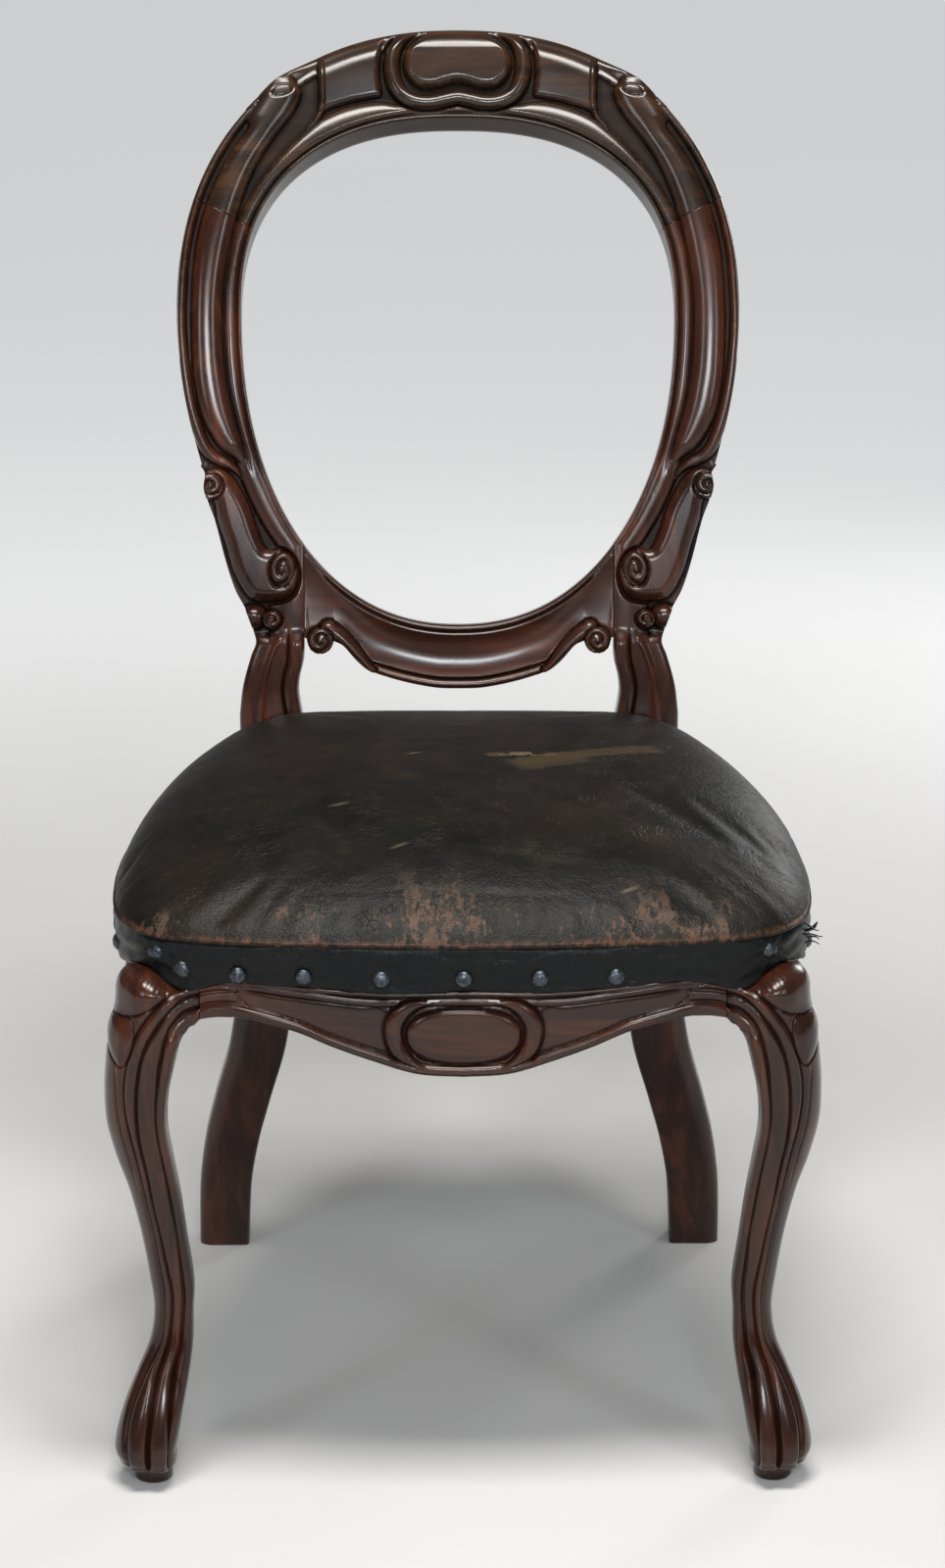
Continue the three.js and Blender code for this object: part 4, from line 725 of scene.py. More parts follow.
def rail_grid(foot, head, across, columns):
    """A grid over a rail's face: across, height, and the gaps to its lower and upper edges."""
    height = mix(foot[:, None], head[:, None], np.linspace(0, 1, columns))
    x = np.broadcast_to(across[:, None], height.shape)
    return x, height, height - foot[:, None], head[:, None] - height


def cross_rail(material):
    rows, columns = 340, 66
    across = np.linspace(FIT - CROSS_JOINT, CROSS_JOINT - FIT, rows)
    foot = CROSS_FOOT * read_table(CROSS_FOOT_SHARES, np.abs(across) / CROSS_JOINT)
    # The scroll at each end hangs a little under the rail's edge
    off_eye = np.abs(across) - CROSS_EYE[0]
    hang = CROSS_EYE[1] - np.sqrt(np.clip(CROSS_EYE[2] ** 2 - off_eye ** 2, 0, None))
    foot = np.where(np.abs(off_eye) < CROSS_EYE[2], np.minimum(foot, hang), foot)
    head = opening_foot(across)
    grids = rail_grid(foot, head, across, columns)
    heights = over_grid(cross_relief, *grids)
    rings, back = [], -CROSS_THICK
    for x, low, high, level, front in zip(across, foot, head, grids[1], heights):
        section = list(zip(level, front))
        section += [(high, mix(front[-1], back + EDGE, t)) for t in (0.3, 0.65, 1)]
        section += [(high - ROUNDED, back + ROUNDED), (high - EDGE, back)]
        section += [(mix(high - EDGE, low + EDGE, t), back) for t in (0.33, 0.66, 1)]
        section += [(low + ROUNDED, back + ROUNDED)]
        section += [(low, mix(back + EDGE, front[0], t)) for t in (0, 0.35, 0.7)]
        levels, proud = np.array(section).T
        rings.append(on_back(x, levels, proud - CROSS_SETBACK))
    add_loft("cross_rail_carved", rings, material, ["cross_rail"], grid_relief(heights))


# ---------------------------------------------------------------- the seat's plan


def seat_plan(inset, per=12):
    """The seat's outline as the drawing has it, set in by one amount."""
    scale = 1 - inset / SEAT_HALF_WIDTH
    middle, depth = (SEAT_FRONT + SEAT_BACK) / 2, SEAT_BACK - SEAT_FRONT
    right = [(scale * a * SEAT_HALF_WIDTH, middle + scale * (SEAT_FRONT + d * depth - middle))
             for a, d in SEAT_PLAN]
    p = np.array(right + [(-x, y) for x, y in right[-2:0:-1]])
    t = np.linspace(0, 1, per, endpoint=False)[:, None]
    out = []
    for p0, p1, p2, p3 in zip(np.roll(p, 1, 0), p, np.roll(p, -1, 0), np.roll(p, -2, 0)):
        d0, d1, d2 = [math.sqrt(math.hypot(*(b - a))) for a, b in ((p0, p1), (p1, p2), (p2, p3))]
        t1 = ((p1 - p0) / d0 - (p2 - p0) / (d0 + d1) + (p2 - p1) / d1) * d1
        t2 = ((p2 - p1) / d1 - (p3 - p1) / (d1 + d2) + (p3 - p2) / d2) * d1
        out.append(p1 + t * t1 + t ** 2 * (3 * (p2 - p1) - 2 * t1 - t2) + t ** 3 * (2 * (p1 - p2) + t1 + t2))
    return np.vstack(out)


def plan_edge(inset, axis, at, side):
    """The outermost place where the plan meets one x (axis 0) or y (axis 1)."""
    plan = seat_plan(inset)
    after = np.roll(plan, -1, axis=0)
    results = []
    for value in np.atleast_1d(at):
        hit = (plan[:, axis] - value) * (after[:, axis] - value) <= 0
        hit &= plan[:, axis] != after[:, axis]
        t = (value - plan[hit, axis]) / (after[hit, axis] - plan[hit, axis])
        found = mix(plan[hit, 1 - axis], after[hit, 1 - axis], t)
        results.append(found.max() if side > 0 else found.min())
    return np.array(results)


SKIRT_WAVE = [
    (0, 0.6), (46, -0.6), (78, 0.4), (110, 2.6), (138, 4.6), (152, 3.4), (164, 0.3), (172, -2.2), (180, -3.8),
    (187, -3.4), (193, 0.3), (199.5, 6), (206, 9.5), (216, 11), (228, 9.5), (240, 8),
]


def skirt_foot(x, y):
    """The lower edge of the leather: it waves over the front rail and lifts over each carved knee."""
    return SKIRT_FOOT + read_table(SKIRT_WAVE, np.abs(x)) * ease((60 - y) / 60)


# ---------------------------------------------------------------- front seat rail

RAIL_PANEL = spline([
    (54.2, 347.2), (66, 346.4), (80, 347.8), (97.3, 349.8), (122.7, 352.4), (138, 354.8), (148.5, 355.9),
    (147.2, 351.6), (144.6, 348), (139.5, 344.9), (122.9, 340.4), (103.8, 333.2), (84.8, 325.8), (68, 319.4),
    (45.4, 314.4), (44.6, 326), (45.6, 339),
], closed=True)
RAIL_C_BEAD = spline([
    (15, 351.8), (24, 351.0), (32, 349.0), (39, 344.9), (44.2, 338.2), (45.9, 329.6), (43.9, 320.4),
    (38.8, 313.2), (31, 308.2), (22, 305.4),
])
RAIL_OVAL = (0.0, 327.7, 37.6, 18.9, 0.0)
RAIL_PROUD = 3.0
RAIL_TOP_BEAD = spline([
    (0, 351.7), (14.5, 351.4), (30, 350.8), (46, 350.6), (60, 350.4), (78.2, 351.8), (97.3, 354.4),
    (116.3, 356.6), (135.4, 358.9), (150, 358.6), (162, 357.4), (173, 354.4), (186, 351),
])
# Lines that run from the rail round on to the leg and down it, across and height: the groove inside the lower
# bead, the groove inside the outer bead, and the groove outside that
EDGE_GROOVE = spline([
    (118, 341.5), (135.7, 346.5), (154.8, 347), (166, 345.4), (174, 342.6), (182, 338.6), (188.8, 332.6),
    (194, 324), (197.4, 311.2), (200.2, 294.2), (202, 266.8), (200.5, 246.1), (197.7, 225.4), (194.3, 197.6),
    (191.5, 176.7), (189.9, 155.7), (188.2, 131), (190, 105.6), (191.8, 93), (196, 77), (197.9, 53.5),
    (198.5, 30), (200, 4),
], per=5)
PANEL_GROOVE = spline([
    (148, 355.9), (158, 355.4), (168, 353.6), (177, 350.6), (185.5, 346.6), (192.4, 341.2), (199.5, 332.4),
    (207.4, 319.5), (212.6, 305), (215.4, 287.4), (216.2, 266.8), (214.7, 246.2), (211.3, 225.5),
    (207.6, 197.7), (203.9, 176.7), (200.6, 155.7), (196.8, 131), (198.5, 105.6), (201, 93), (206.4, 77),
    (210.7, 53.5), (213, 30), (212, 4),
], per=5)
BEAD_GROOVE = spline([
    (162, 362), (172, 359.6), (182, 356.4), (191, 352), (198.6, 346), (206, 337.6), (214.6, 324.4),
    (221.9, 301), (223.7, 280.6), (221.5, 260), (217.5, 239.3), (214, 218.5), (210.6, 197.7), (207.1, 176.7),
    (204.3, 155.7), (201.4, 131), (203, 105.6), (207, 93), (215.5, 77), (224.8, 53.5), (228, 30), (224, 4),
], per=5)


def shared_relief(at, toe):
    """The two beads and the panel between them, which flow from the rail into the leg."""
    to_edge, to_panel, to_bead = [near(at, line)[0] for line in (EDGE_GROOVE, PANEL_GROOVE, BEAD_GROOVE)]
    panel = inside(at, np.vstack([EDGE_GROOVE, PANEL_GROOVE[::-1]]))
    bead = inside(at, np.vstack([PANEL_GROOVE, BEAD_GROOVE[::-1]]))
    wide = mix(3.0, 3.4, toe)
    deep = mix(1.8, 2.5, toe) * ease((at[:, 1] - 9) / 14)
    relief = -deep * (notch(to_edge, wide) + 0.95 * notch(to_panel, wide))
    relief -= deep * mix(0.8, 0.95, toe) * notch(to_bead, wide)
    relief += np.where(bead > 0, mix(1.5, 2.4, toe) * pillow(bead, mix(3.2, 6.5, toe)), 0)
    relief += np.where(panel > 0, mix(-0.5, 2.6, toe) * pillow(panel, mix(8, 6.5, toe)), 0)
    inner_roll = (panel < 0) & (bead < 0) & (to_edge < to_bead) & (to_edge < 9)
    return relief + inner_roll * mix(1.6, 2.2, toe) * pillow(to_edge - 0.5, 3.6)


def rail_relief(x, height, below, above):
    """The front rail's carving: beads along its edges, hollow panels, and an oval between two C beads."""
    at = np.stack([np.abs(x), height], -1)
    relief = RAIL_PROUD - 2.2 * ease((inside(at, RAIL_PANEL) + 0.4) / 1.8)
    # Bead and fillet along the lower edge
    relief = raise_rod(np.where(below < 8.6, 2.0, relief), below - 5.0, 3.1, 1.6, 3.6, 0.3)
    relief = np.where(below < 2.2, np.minimum(relief, 0.6 + 2.6 * pillow(below, 1.4)), relief)
    # Bead under the leather
    to_bead, _ = near(at, RAIL_TOP_BEAD)
    relief = raise_rod(relief - 1.1 * notch(to_bead - 3.1, 1.2), to_bead, 2.7, 1.6, 3.2, 0.3)
    relief = np.where(above < 3.0, np.maximum(relief, 2.0 + 2.4 * rod(above - 1.6, 1.9)), relief)
    # Towards the leg these turn into the leg's own lines
    relief = mix(relief, RAIL_PROUD + shared_relief(at, 0.0), ease((at[:, 0] - 136) / 22))
    # The oval in the middle between its two C beads
    to_c, along = near(at, RAIL_C_BEAD)
    half = 5.8 * ease(along / 0.42) ** 0.8 * ease((1 - along) / 0.36) ** 0.8
    moat = 1.8 * ease(along / 0.3) * ease((1 - along) / 0.3)
    relief = np.where((to_c < half + moat) & (below > 5.5) & (half > 1.5), np.minimum(relief, 0.8), relief)
    relief = raise_rod(relief, to_c, half, mix(2.2, 0.8, ease(half / 4)), 4.4, 0.4)
    u, v = at[:, 0] / RAIL_OVAL[2], np.abs(height - RAIL_OVAL[1]) / RAIL_OVAL[3]
    share = (u ** 2.35 + v ** 2.35) ** (1 / 2.35)
    depth = (1 - share) * 22
    boss = 0.8 + (3.6 + 1.2 * (1 - share ** 2)) * pillow(depth, 3.6)
    around = np.where(depth > -2, np.minimum(relief, 0.8 + (depth / 2) ** 2 * 3), relief)
    return np.where(depth > 0, boss, around)


def front_seat_rail(material):
    rows, columns = 470, 92
    across = np.linspace(FIT - RAIL_JOINT, RAIL_JOINT - FIT, rows)
    face = plan_edge(RAIL_FACE, 0, across, -1)
    foot = mix(APRON_FOOT, APRON_SHOULDER, read_table(APRON_SHARES, np.abs(across) / APRON_REACH))
    head = skirt_foot(across, 0.0) + 0.6
    grids = rail_grid(foot, head, across, columns)
    relief = over_grid(rail_relief, *grids)
    rings = []
    for x, y, low, high, height, proud in zip(across, face, foot, head, grids[1], relief):
        middle, back = y + RAIL_THICK / 2, y + RAIL_THICK
        section = list(zip(y - proud, height))
        section += [(y, high + 0.2), (y, mix(high, RAIL_TOP, 0.5)), (y, RAIL_TOP), (middle, RAIL_TOP),
                    (back, RAIL_TOP), (back, mix(RAIL_TOP, low, 0.5)), (back, low + EDGE),
                    (back - ROUNDED, low + ROUNDED), (back - EDGE, low), (middle, low), (y + 2, low)]
        rings.append([(x, depth, z) for depth, z in section])
    add_loft("front_seat_rail_carved", rings, material, ["front_seat_rail"], grid_relief(relief))


# ---------------------------------------------------------------- front legs

# The bracket under the rail: height over the leg's top, inner edge over its spread
KNEE_INNER = [
    (1, 0.728), (0.943, 0.728), (0.928, 0.744), (0.91, 0.77), (0.888, 0.788), (0.862, 0.799), (0.82, 0.814),
    (0.79, 0.824), (0.76, 0.829),
]
LEG_FRONT = [
    (0, 0.34), (0.012, 0.2), (0.04, 0.09), (0.1, 0.02), (0.2, 0), (0.36, 0), (0.52, 0.012), (0.66, 0.05),
    (0.78, 0.13), (0.9, 0.27), (0.965, 0.4), (1, 0.56),
]
# Beside the rail the section starts flush with it
LEG_FRONT_HEAD = [
    (0, 0.125), (0.012, 0.12), (0.04, 0.11), (0.1, 0.085), (0.2, 0.05), (0.36, 0.012), (0.52, 0.012),
    (0.66, 0.05), (0.78, 0.13), (0.9, 0.27), (0.965, 0.4), (1, 0.56),
]
LEG_BACK = [
    (1, 0.56), (0.985, 0.76), (0.93, 0.9), (0.82, 0.97), (0.6, 1), (0.25, 1), (0.08, 0.96), (0.015, 0.86),
    (0, 0.7), (0, 0.34),
]
KNEE_BULB = spline([
    (218, 378), (206, 374), (198.6, 366), (195, 358), (195.4, 351.6), (201, 346), (208.6, 342), (216, 338.8),
    (224, 337.2), (233, 338), (240, 352), (236, 376),
], closed=True)
KNEE_LOBE = spline([
    (217.2, 334.4), (224, 335), (233, 334), (237, 323), (233, 310), (226, 303), (220.4, 309), (216.8, 320),
], closed=True)


# A fine line down the leg's outer side, under the knee
LEG_LINE = [(310, 229), (290, 229.5), (262, 227.5), (235, 222), (205, 215.5)]


def leg_relief_at(x, height, facing):
    """How far the leg's surface stands out, or is cut in, at a place seen from the front."""
    shown = facing > 0
    at = np.stack([x, height], -1)[shown]
    x, height = at.T
    relief = shared_relief(at, ease((118 - height) / 45))
    bulb, lobe = inside(at, KNEE_BULB), inside(at, KNEE_LOBE)
    swell = -1.8 + 4.8 * pillow(bulb, 13) * mix(0.5, 1.0, ease((232 - x) / 28))
    relief = np.where(bulb > 0, soft_max(relief, swell, 0.5), relief - 1.2 * notch(bulb, 2.2))
    swell = -1.6 + 3.0 * pillow(lobe, 8)
    relief = np.where(lobe > 0, soft_max(relief, swell, 0.5), relief - 1.0 * notch(lobe, 1.8))
    fade = ease((308 - height) / 20) * ease((height - 200) / 40)
    relief -= 0.9 * notch(x - read_table(LEG_LINE, height), 1.3) * fade
    whole = np.zeros(len(facing))
    whole[shown] = relief
    return whole * facing


LEG_SCALE = (40, 42)
LEG_SHOULDER = 349.0
SOLE_ROUND = 3.5
PAD_ACROSS, PAD_DEPTH = 211.0, 14.0
PAD_PROFILE = [(10.2, 0), (11.9, 0.5), (12.9, 1.8), (13.1, 4), (13, 11), (12.6, 16)]
HEAD_PROFILE = [(1, 334), (1, 357), (1, 381), (0.985, RAIL_TOP)]


def nearest_on(points, line):
    """The place on a closed line that is nearest to each point."""
    best = np.full(len(points), FAR)
    found = points.copy()
    for a, b in zip(line, np.roll(line, -1, axis=0)):
        t = np.clip(((points - a) @ (b - a)) / (((b - a) ** 2).sum() + FINE), 0, 1)[:, None]
        spot = a + t * (b - a)
        d = np.hypot(*(points - spot).T)
        found = np.where((d < best)[:, None], spot, found)
        best = np.minimum(best, d)
    return found


def swept(line, profile, side):
    """Rings of one outline, scaled about its middle for each height of a profile."""
    x, y = line.mean(0)
    return [[((x + (px - x) * scale) * side, y + (py - y) * scale, z) for px, py in line]
            for scale, z in profile]


def leg_form(rows, cap_rows, sole_rows):
    """The right leg before it is carved, in rings from the leather's foot down to the pad."""
    back_shape = evenly(spline(LEG_BACK, per=14), 58, LEG_SCALE)[1:-1]
    shape, head_shape = [np.vstack([evenly(spline(front, per=24), 128, LEG_SCALE), back_shape])
                         for front in (LEG_FRONT, LEG_FRONT_HEAD)]
    sole = FRONT_LEG[-1][0] * LEG_TOP + 3.0
    z = np.linspace(LEG_SHOULDER, sole + SOLE_ROUND, rows)
    outer, inner, front, back = [LEG_SPREAD * read_table(FRONT_LEG, z / LEG_TOP, k) for k in (1, 2, 3, 4)]
    inner = np.where(z > LEG_TOP * 0.79, LEG_SPREAD * read_table(KNEE_INNER, z / LEG_TOP), inner)
    head = ease((z - 318) / 16)[:, None]
    x = mix(inner[:, None], outer[:, None], mix(shape[:, 0], head_shape[:, 0], head))
    y = mix(front[:, None], back[:, None], mix(shape[:, 1], head_shape[:, 1], head))
    z = np.broadcast_to(z[:, None], x.shape)
    # Its front runs flush into the rail's, and its outer side stands no wider than the leather
    beside = ease((194 - x) / 18) * ease((z - 320) / 12) * ease((0.28 - head_shape[:, 1]) / 0.08)
    rail_face = plan_edge(RAIL_FACE, 0, np.clip(x, RAIL_JOINT, 200).ravel(), -1).reshape(x.shape)
    y = mix(y, rail_face - RAIL_PROUD, beside)
    x = x - 3.2 * ease((z - 322) / 24) * ease((x - 205) / 22)

    # Above its shoulder the knee rounds back to the leather's foot
    top = np.stack([x[0], y[0]], -1)
    band_line = seat_plan(BAND_INSET, 16)
    proud = inside(top, band_line) < 0
    meet = np.where(proud[:, None], nearest_on(top, band_line), top)
    meet_z = np.where(proud, skirt_foot(*meet.T), LEG_TOP)
    turns = np.linspace(math.pi / 2, 0, cap_rows, endpoint=False)[:, None]
    cap = [mix(a, b, (1 - np.cos(turns)) ** 1.2) for a, b in zip(top.T, meet.T)]
    cap.append(mix(LEG_SHOULDER, meet_z, np.sin(turns)))
    # Below, the sole rounds in to the pad
    turns = np.linspace(0, math.pi / 2, sole_rows + 1)[1:, None]
    shrink = 1 - SOLE_ROUND * (1 - np.cos(turns)) / 20
    under = [a[-1].mean() + (a[-1] - a[-1].mean()) * shrink for a in (x, y)]
    under.append(np.broadcast_to(sole + SOLE_ROUND * (1 - np.sin(turns)), under[0].shape))
    rings = np.stack([np.vstack(parts) for parts in zip(cap, (x, y, z), under)], -1)
    return rings, np.broadcast_to(ease((0.75 - shape[:, 1]) / 0.2), rings.shape[:2])


def front_leg(side, material):
    cap_rows = 16
    rings, facing = leg_form(430, cap_rows, 6)
    x, y, z = rings.transpose(2, 0, 1)
    out_x, out_y = np.roll(y, -1, 1) - np.roll(y, 1, 1), np.roll(x, 1, 1) - np.roll(x, -1, 1)
    length = np.maximum(np.hypot(out_x, out_y), 1e-6)
    relief = over_grid(leg_relief_at, x, z, facing)
    relief[:cap_rows] *= np.linspace(0.35, 1, cap_rows)[:, None]
    rings = np.stack([(x + out_x / length * relief) * side, y + out_y / length * relief, z], -1)
    name = ("right" if side > 0 else "left") + "_front_leg"
    add_loft(name + "_carved", rings, material, [name], grid_relief(relief))

    # The turned pad under the toe
    turns = np.linspace(0, 2 * math.pi, 40, endpoint=False)
    pad = [[(PAD_ACROSS * side + r * math.cos(a), PAD_DEPTH + r * math.sin(a), h) for a in turns]
           for r, h in PAD_PROFILE]
    add_loft(name + "_pad", pad, material)

    # The head behind the leather, which the rails are tenoned into
    corner = seat_plan(RAIL_FACE, 10)
    corner = corner[(corner[:, 0] > RAIL_JOINT) & (corner[:, 1] < LEG_BACK_EDGE)]
    plan = np.vstack([(RAIL_JOINT, LEG_BACK_EDGE), (RAIL_JOINT, plan_edge(RAIL_FACE, 0, RAIL_JOINT, -1)[0]),
                      corner, (plan_edge(RAIL_FACE, 1, LEG_BACK_EDGE, 1)[0], LEG_BACK_EDGE)])
    add_loft(name + "_head", swept(plan, HEAD_PROFILE, side), material)


# ---------------------------------------------------------------- upholstery

CENTRE = np.array([0.0, (SEAT_FRONT + SEAT_BACK) / 2])
STUFFING_FOOT = 386.9
SEAT_ROUND = 8.0
POST_CLEARANCE = 0.8
NAIL_COUNT, FRONT_NAILS = 22, 19
HALF_DEPTH = 217.5
# The leather's roll: how far each ring is set in, and how far down it lies from the roll to the fold
ROLL_STEPS = [(0.1, -0.14), (0.5, -0.3), (1.1, -0.46), (1.9, -0.62), (2.8, -0.76), (3.7, -0.9), (4.3, -1.0)]


def depth_share(y):
    return (y - SEAT_FRONT) / (SEAT_BACK - SEAT_FRONT)


def roll_height(y):
    return mix(FRONT_ROLL, BACK_ROLL, ease(depth_share(y)))


def dome_height(y, share):
    """The top of the seat at a share of the way from its edge to its middle."""
    power = mix(3.0, 9.0, ease(depth_share(y)))
    rounded = SEAT_ROUND * (1 - pillow(share * SEAT_HALF_WIDTH, 21))
    return mix(roll_height(y), CROWN, 1 - (1 - share) ** power) - rounded


def clear_posts(points):
    """Points drawn in towards the seat's middle where a post stands."""
    a, y, z = np.abs(points[:, 0]), points[:, 1], points[:, 2]
    level = level_at(z)
    under, over = rear_leg_edges(level), post_edges(level, 0)
    inner = np.where(level > 0, over[0], under[0]) - POST_CLEARANCE
    outer = np.where(level > 0, over[2], under[2]) + POST_CLEARANCE
    face = post_face_at(z) - POST_CLEARANCE
    hit = (a > inner) & (a < outer) & (y > face)
    keep = np.maximum(inner / np.maximum(a, 1), (face - CENTRE[1]) / np.maximum(y - CENTRE[1], 1))
    keep = np.where(hit, np.minimum(keep, 1), 1)
    moved = points.copy()
    moved[:, :2] = CENTRE + (points[:, :2] - CENTRE) * keep[:, None]
    return moved, keep < 1


def nested_faces(rings):
    """Quads over a disc made of squares within squares, which has no pole."""
    faces = []
    for k in range(1, len(rings)):
        a, b = rings[k - 1], rings[k]
        if k == 1:
            faces += [(a[0], b[j - 1], b[j], b[j + 1]) for j in range(0, 8, 2)]
            continue
        for side in range(4):
            corner, inner = side * 2 * k, side * (2 * k - 2)
            faces.append((b[corner - 1], b[corner], b[corner + 1], a[inner]))
            faces += [(b[corner + j], b[(corner + j + 1) % len(b)], a[(inner + j) % len(a)], a[inner + j - 1])
                      for j in range(1, 2 * k - 1)]
    return faces


def cushion(material):
    """The leather seat: a crowned form over the rails, its skirt, and its flat underside."""
    half = 44
    plan = seat_plan(0, 40)
    loop = np.vstack([plan, plan[:1]])
    points, faces = [], []

    def add_ring(xy, height):
        first = sum(len(ring) for ring in points)
        points.append(np.column_stack([xy, np.broadcast_to(height, len(xy))]))
        return list(range(first, first + len(xy)))

    edges = [evenly(loop, 8 * k, endpoint=False) for k in range(1, half + 1)]
    edge = edges[-1]
    rings = [add_ring(CENTRE[None], CROWN)]
    for k, ring in enumerate(edges, 1):
        share = (1 - k / half) ** 1.12
        rings.append(add_ring(CENTRE + (ring - CENTRE) * (1 - share), dome_height(ring[:, 1], share)))
    faces += nested_faces(rings)
    # Then the roll, the side, the skirt and its inner face, all from the rim's own points
    roll = roll_height(edge[:, 1]) - SEAT_ROUND
    fold = ROLL_FOOT - 4.0
    foot = skirt_foot(*edge.T) + 1.2
    inner = SKIRT_INSET + 1.9
    profile = [(inset, roll + (roll - fold) * down) for inset, down in ROLL_STEPS]
    profile += [(SKIRT_INSET, mix(fold, foot, t)) for t in (0.15, 0.4, 0.7, 1)]
    profile += [(SKIRT_INSET + 1.0, foot - 0.6), (inner, foot)]
    profile += [(inner, mix(foot, STUFFING_FOOT, t)) for t in (0.5, 1)]
    last = rings[-1]
    for inset, height in profile:
        ring = add_ring(CENTRE + (edge - CENTRE) * (1 - inset / SEAT_HALF_WIDTH), height)
        faces += list(zip(last, last[1:] + last[:1], ring[1:] + ring[:1], ring))
        last = ring
    under = [add_ring(CENTRE + (ring - CENTRE) * (0.94 * k / half), STUFFING_FOOT)
             for k, ring in enumerate(edges[:-1], 1)]
    under = [add_ring(CENTRE[None], STUFFING_FOOT)] + under + [last]
    faces += [quad[::-1] for quad in nested_faces(under)]

    points, at_post = clear_posts(np.vstack(points))
    hold = np.where(at_post, 1, 1 - ease((points[:, 2] - ROLL_FOOT + 2) / 10))
    points[:, 2] -= 1.0 * (1 - hold)
    piece = link_object("seat_cushion", build_mesh("seat_cushion", points, faces))
    puff_up(piece, hold)
    shape_leather(piece)
    piece.data.materials.append(material)
    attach(piece, "root")
    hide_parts("seat_cover", "stuffing_pad")


CLOTH = {
    "quality": 5, "mass": 0.3, "tension_stiffness": 18, "compression_stiffness": 18, "shear_stiffness": 8,
    "bending_stiffness": 4, "use_pressure": True, "uniform_pressure_force": 3, "shrink_min": 0.0,
    "vertex_group_mass": "nailed",
}
CLOTH_FRAMES = 20
PUFF_LIMIT = 4.5 * MM


def puff_up(piece, hold):
    """The stuffing pushes the leather out above its nailed edge, by a short cloth simulation."""
    group = piece.vertex_groups.new(name="nailed")
    for index, weight in enumerate(hold):
        if weight > 0.01:
            group.add([index], float(weight), "REPLACE")
    cloth = piece.modifiers.new("cloth", "CLOTH")
    for key, value in CLOTH.items():
        setattr(cloth.settings, key, value)
    cloth.settings.effector_weights.gravity = 0
    cloth.collision_settings.use_collision = False
    before = read_points(piece.data)
    scene = bpy.context.scene
    scene.frame_start, scene.frame_end = 1, CLOTH_FRAMES
    for step in range(1, CLOTH_FRAMES + 1):
        scene.frame_set(step)
    moved = read_points(piece.evaluated_get(bpy.context.evaluated_depsgraph_get()).data) - before
    piece.modifiers.clear()
    piece.vertex_groups.clear()
    scene.frame_set(1)
    far = np.linalg.norm(moved, axis=1)[:, None]
    moved *= PUFF_LIMIT * np.tanh(far / PUFF_LIMIT) / np.maximum(far, FINE)
    write_points(piece.data, before + moved)


def write_points(mesh, points):
    mesh.vertices.foreach_set("co", points.ravel())
    mesh.update()


TEAR = spline([(20, 214.6), (30, 216.2), (41, 214.2), (52, 216.6), (65, 214.8)])


def shape_leather(piece):
    """One subdivision, then the dents, creases and the tear of the worn leather."""
    bpy.context.view_layer.objects.active = piece
    smooth = piece.modifiers.new("smooth", "SUBSURF")
    smooth.levels = smooth.render_levels = 1
    with bpy.context.temp_override(object=piece, active_object=piece, selected_objects=[piece]):
        bpy.ops.object.modifier_apply(modifier=smooth.name)
    mesh = piece.data
    points = read_points(mesh) / MM + [0, SHIFT_Y, 0]
    x, y, z = points.T
    scale = np.hypot(x / SEAT_HALF_WIDTH, (y - CENTRE[1]) / HALF_DEPTH)
    angle = np.arctan2(y - CENTRE[1], x)
    on_top = ease((z - ROLL_FOOT) / 8)
    front = ease((90 - y) / 90)
    # Puckers run in from the nailed edge, strongest along the front
    waves = np.sin(angle * 61 + 2.2 * np.sin(angle * 9)) * 0.6 + np.sin(angle * 97 + 1.3) * 0.4
    push = 0.34 * waves * ease((scale - 0.9) / 0.08) * on_top * (0.3 + 0.7 * front)
    # Long shallow creases across the sitting area
    for cx, cy, along, wide, turn, deep in CREASES:
        u = (x - cx) * math.cos(turn) + (y - cy) * math.sin(turn)
        v = (y - cy) * math.cos(turn) - (x - cx) * math.sin(turn) + 5 * np.sin(u / along * 2.1)
        push -= deep * notch(v, wide) * (1 - ease(np.abs(u) / along)) * on_top
    push += 0.8 * np.sin(x / 47 + 1.1) * np.sin(y / 39 + 0.4) * on_top
    # The tear: an open slit with raised lips
    to_tear, along = near(np.stack([x, y], -1), TEAR)
    open_half = 2.6 * np.sin(np.clip(along, 0.02, 0.98) * math.pi)
    push += on_top * (0.9 * notch(to_tear - open_half - 1.5, 2.2) - 3.2 * (to_tear < open_half))
    points += read_points(mesh, "normal") * push[:, None]
    write_points(mesh, (points - [0, SHIFT_Y, 0]) * MM)
    mesh.polygons.foreach_set("use_smooth", [True] * len(mesh.polygons))
    mesh.update()


CREASES = [
    (-60, 70, 90, 7, 0.35, 0.45), (40, 40, 110, 8, -0.12, 0.5), (120, 120, 80, 8, 1.1, 0.4),
    (-130, 130, 70, 7, -1.0, 0.4), (10, 130, 70, 9, 0.9, 0.35), (-40, 250, 100, 8, 0.1, 0.35),
    (160, 60, 50, 5, 0.5, 0.5), (-170, 60, 50, 5, -0.4, 0.5), (0, 8, 150, 5, 0.02, 0.5),
]


def facing_out(run, spot):
    """The level direction square to a line's run that points away from the seat's middle."""
    out = np.array([run[1], -run[0]]) / np.hypot(*run)
    return out if out @ (spot - CENTRE) >= 0 else -out


def nail_places():
    """Each dome nail's place on the leather and the way it points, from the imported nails."""
    places = []
    for number in range(1, NAIL_COUNT + 1):
        low, high = (np.array(corner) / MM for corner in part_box(f"nail_{number}"))
        middle = (low + high) / 2 + [0, SHIFT_Y, 0]
        line = seat_plan(SKIRT_INSET if number > FRONT_NAILS else BAND_INSET, 16)
        spot = nearest_on(middle[None, :2], line)[0]
        ends = line[np.argsort(np.hypot(*(line - spot).T))[:2]]
        out = facing_out(ends[1] - ends[0], spot)
        places.append((number, np.array([*spot, middle[2]]), np.array([*out, 0.0])))
    return places


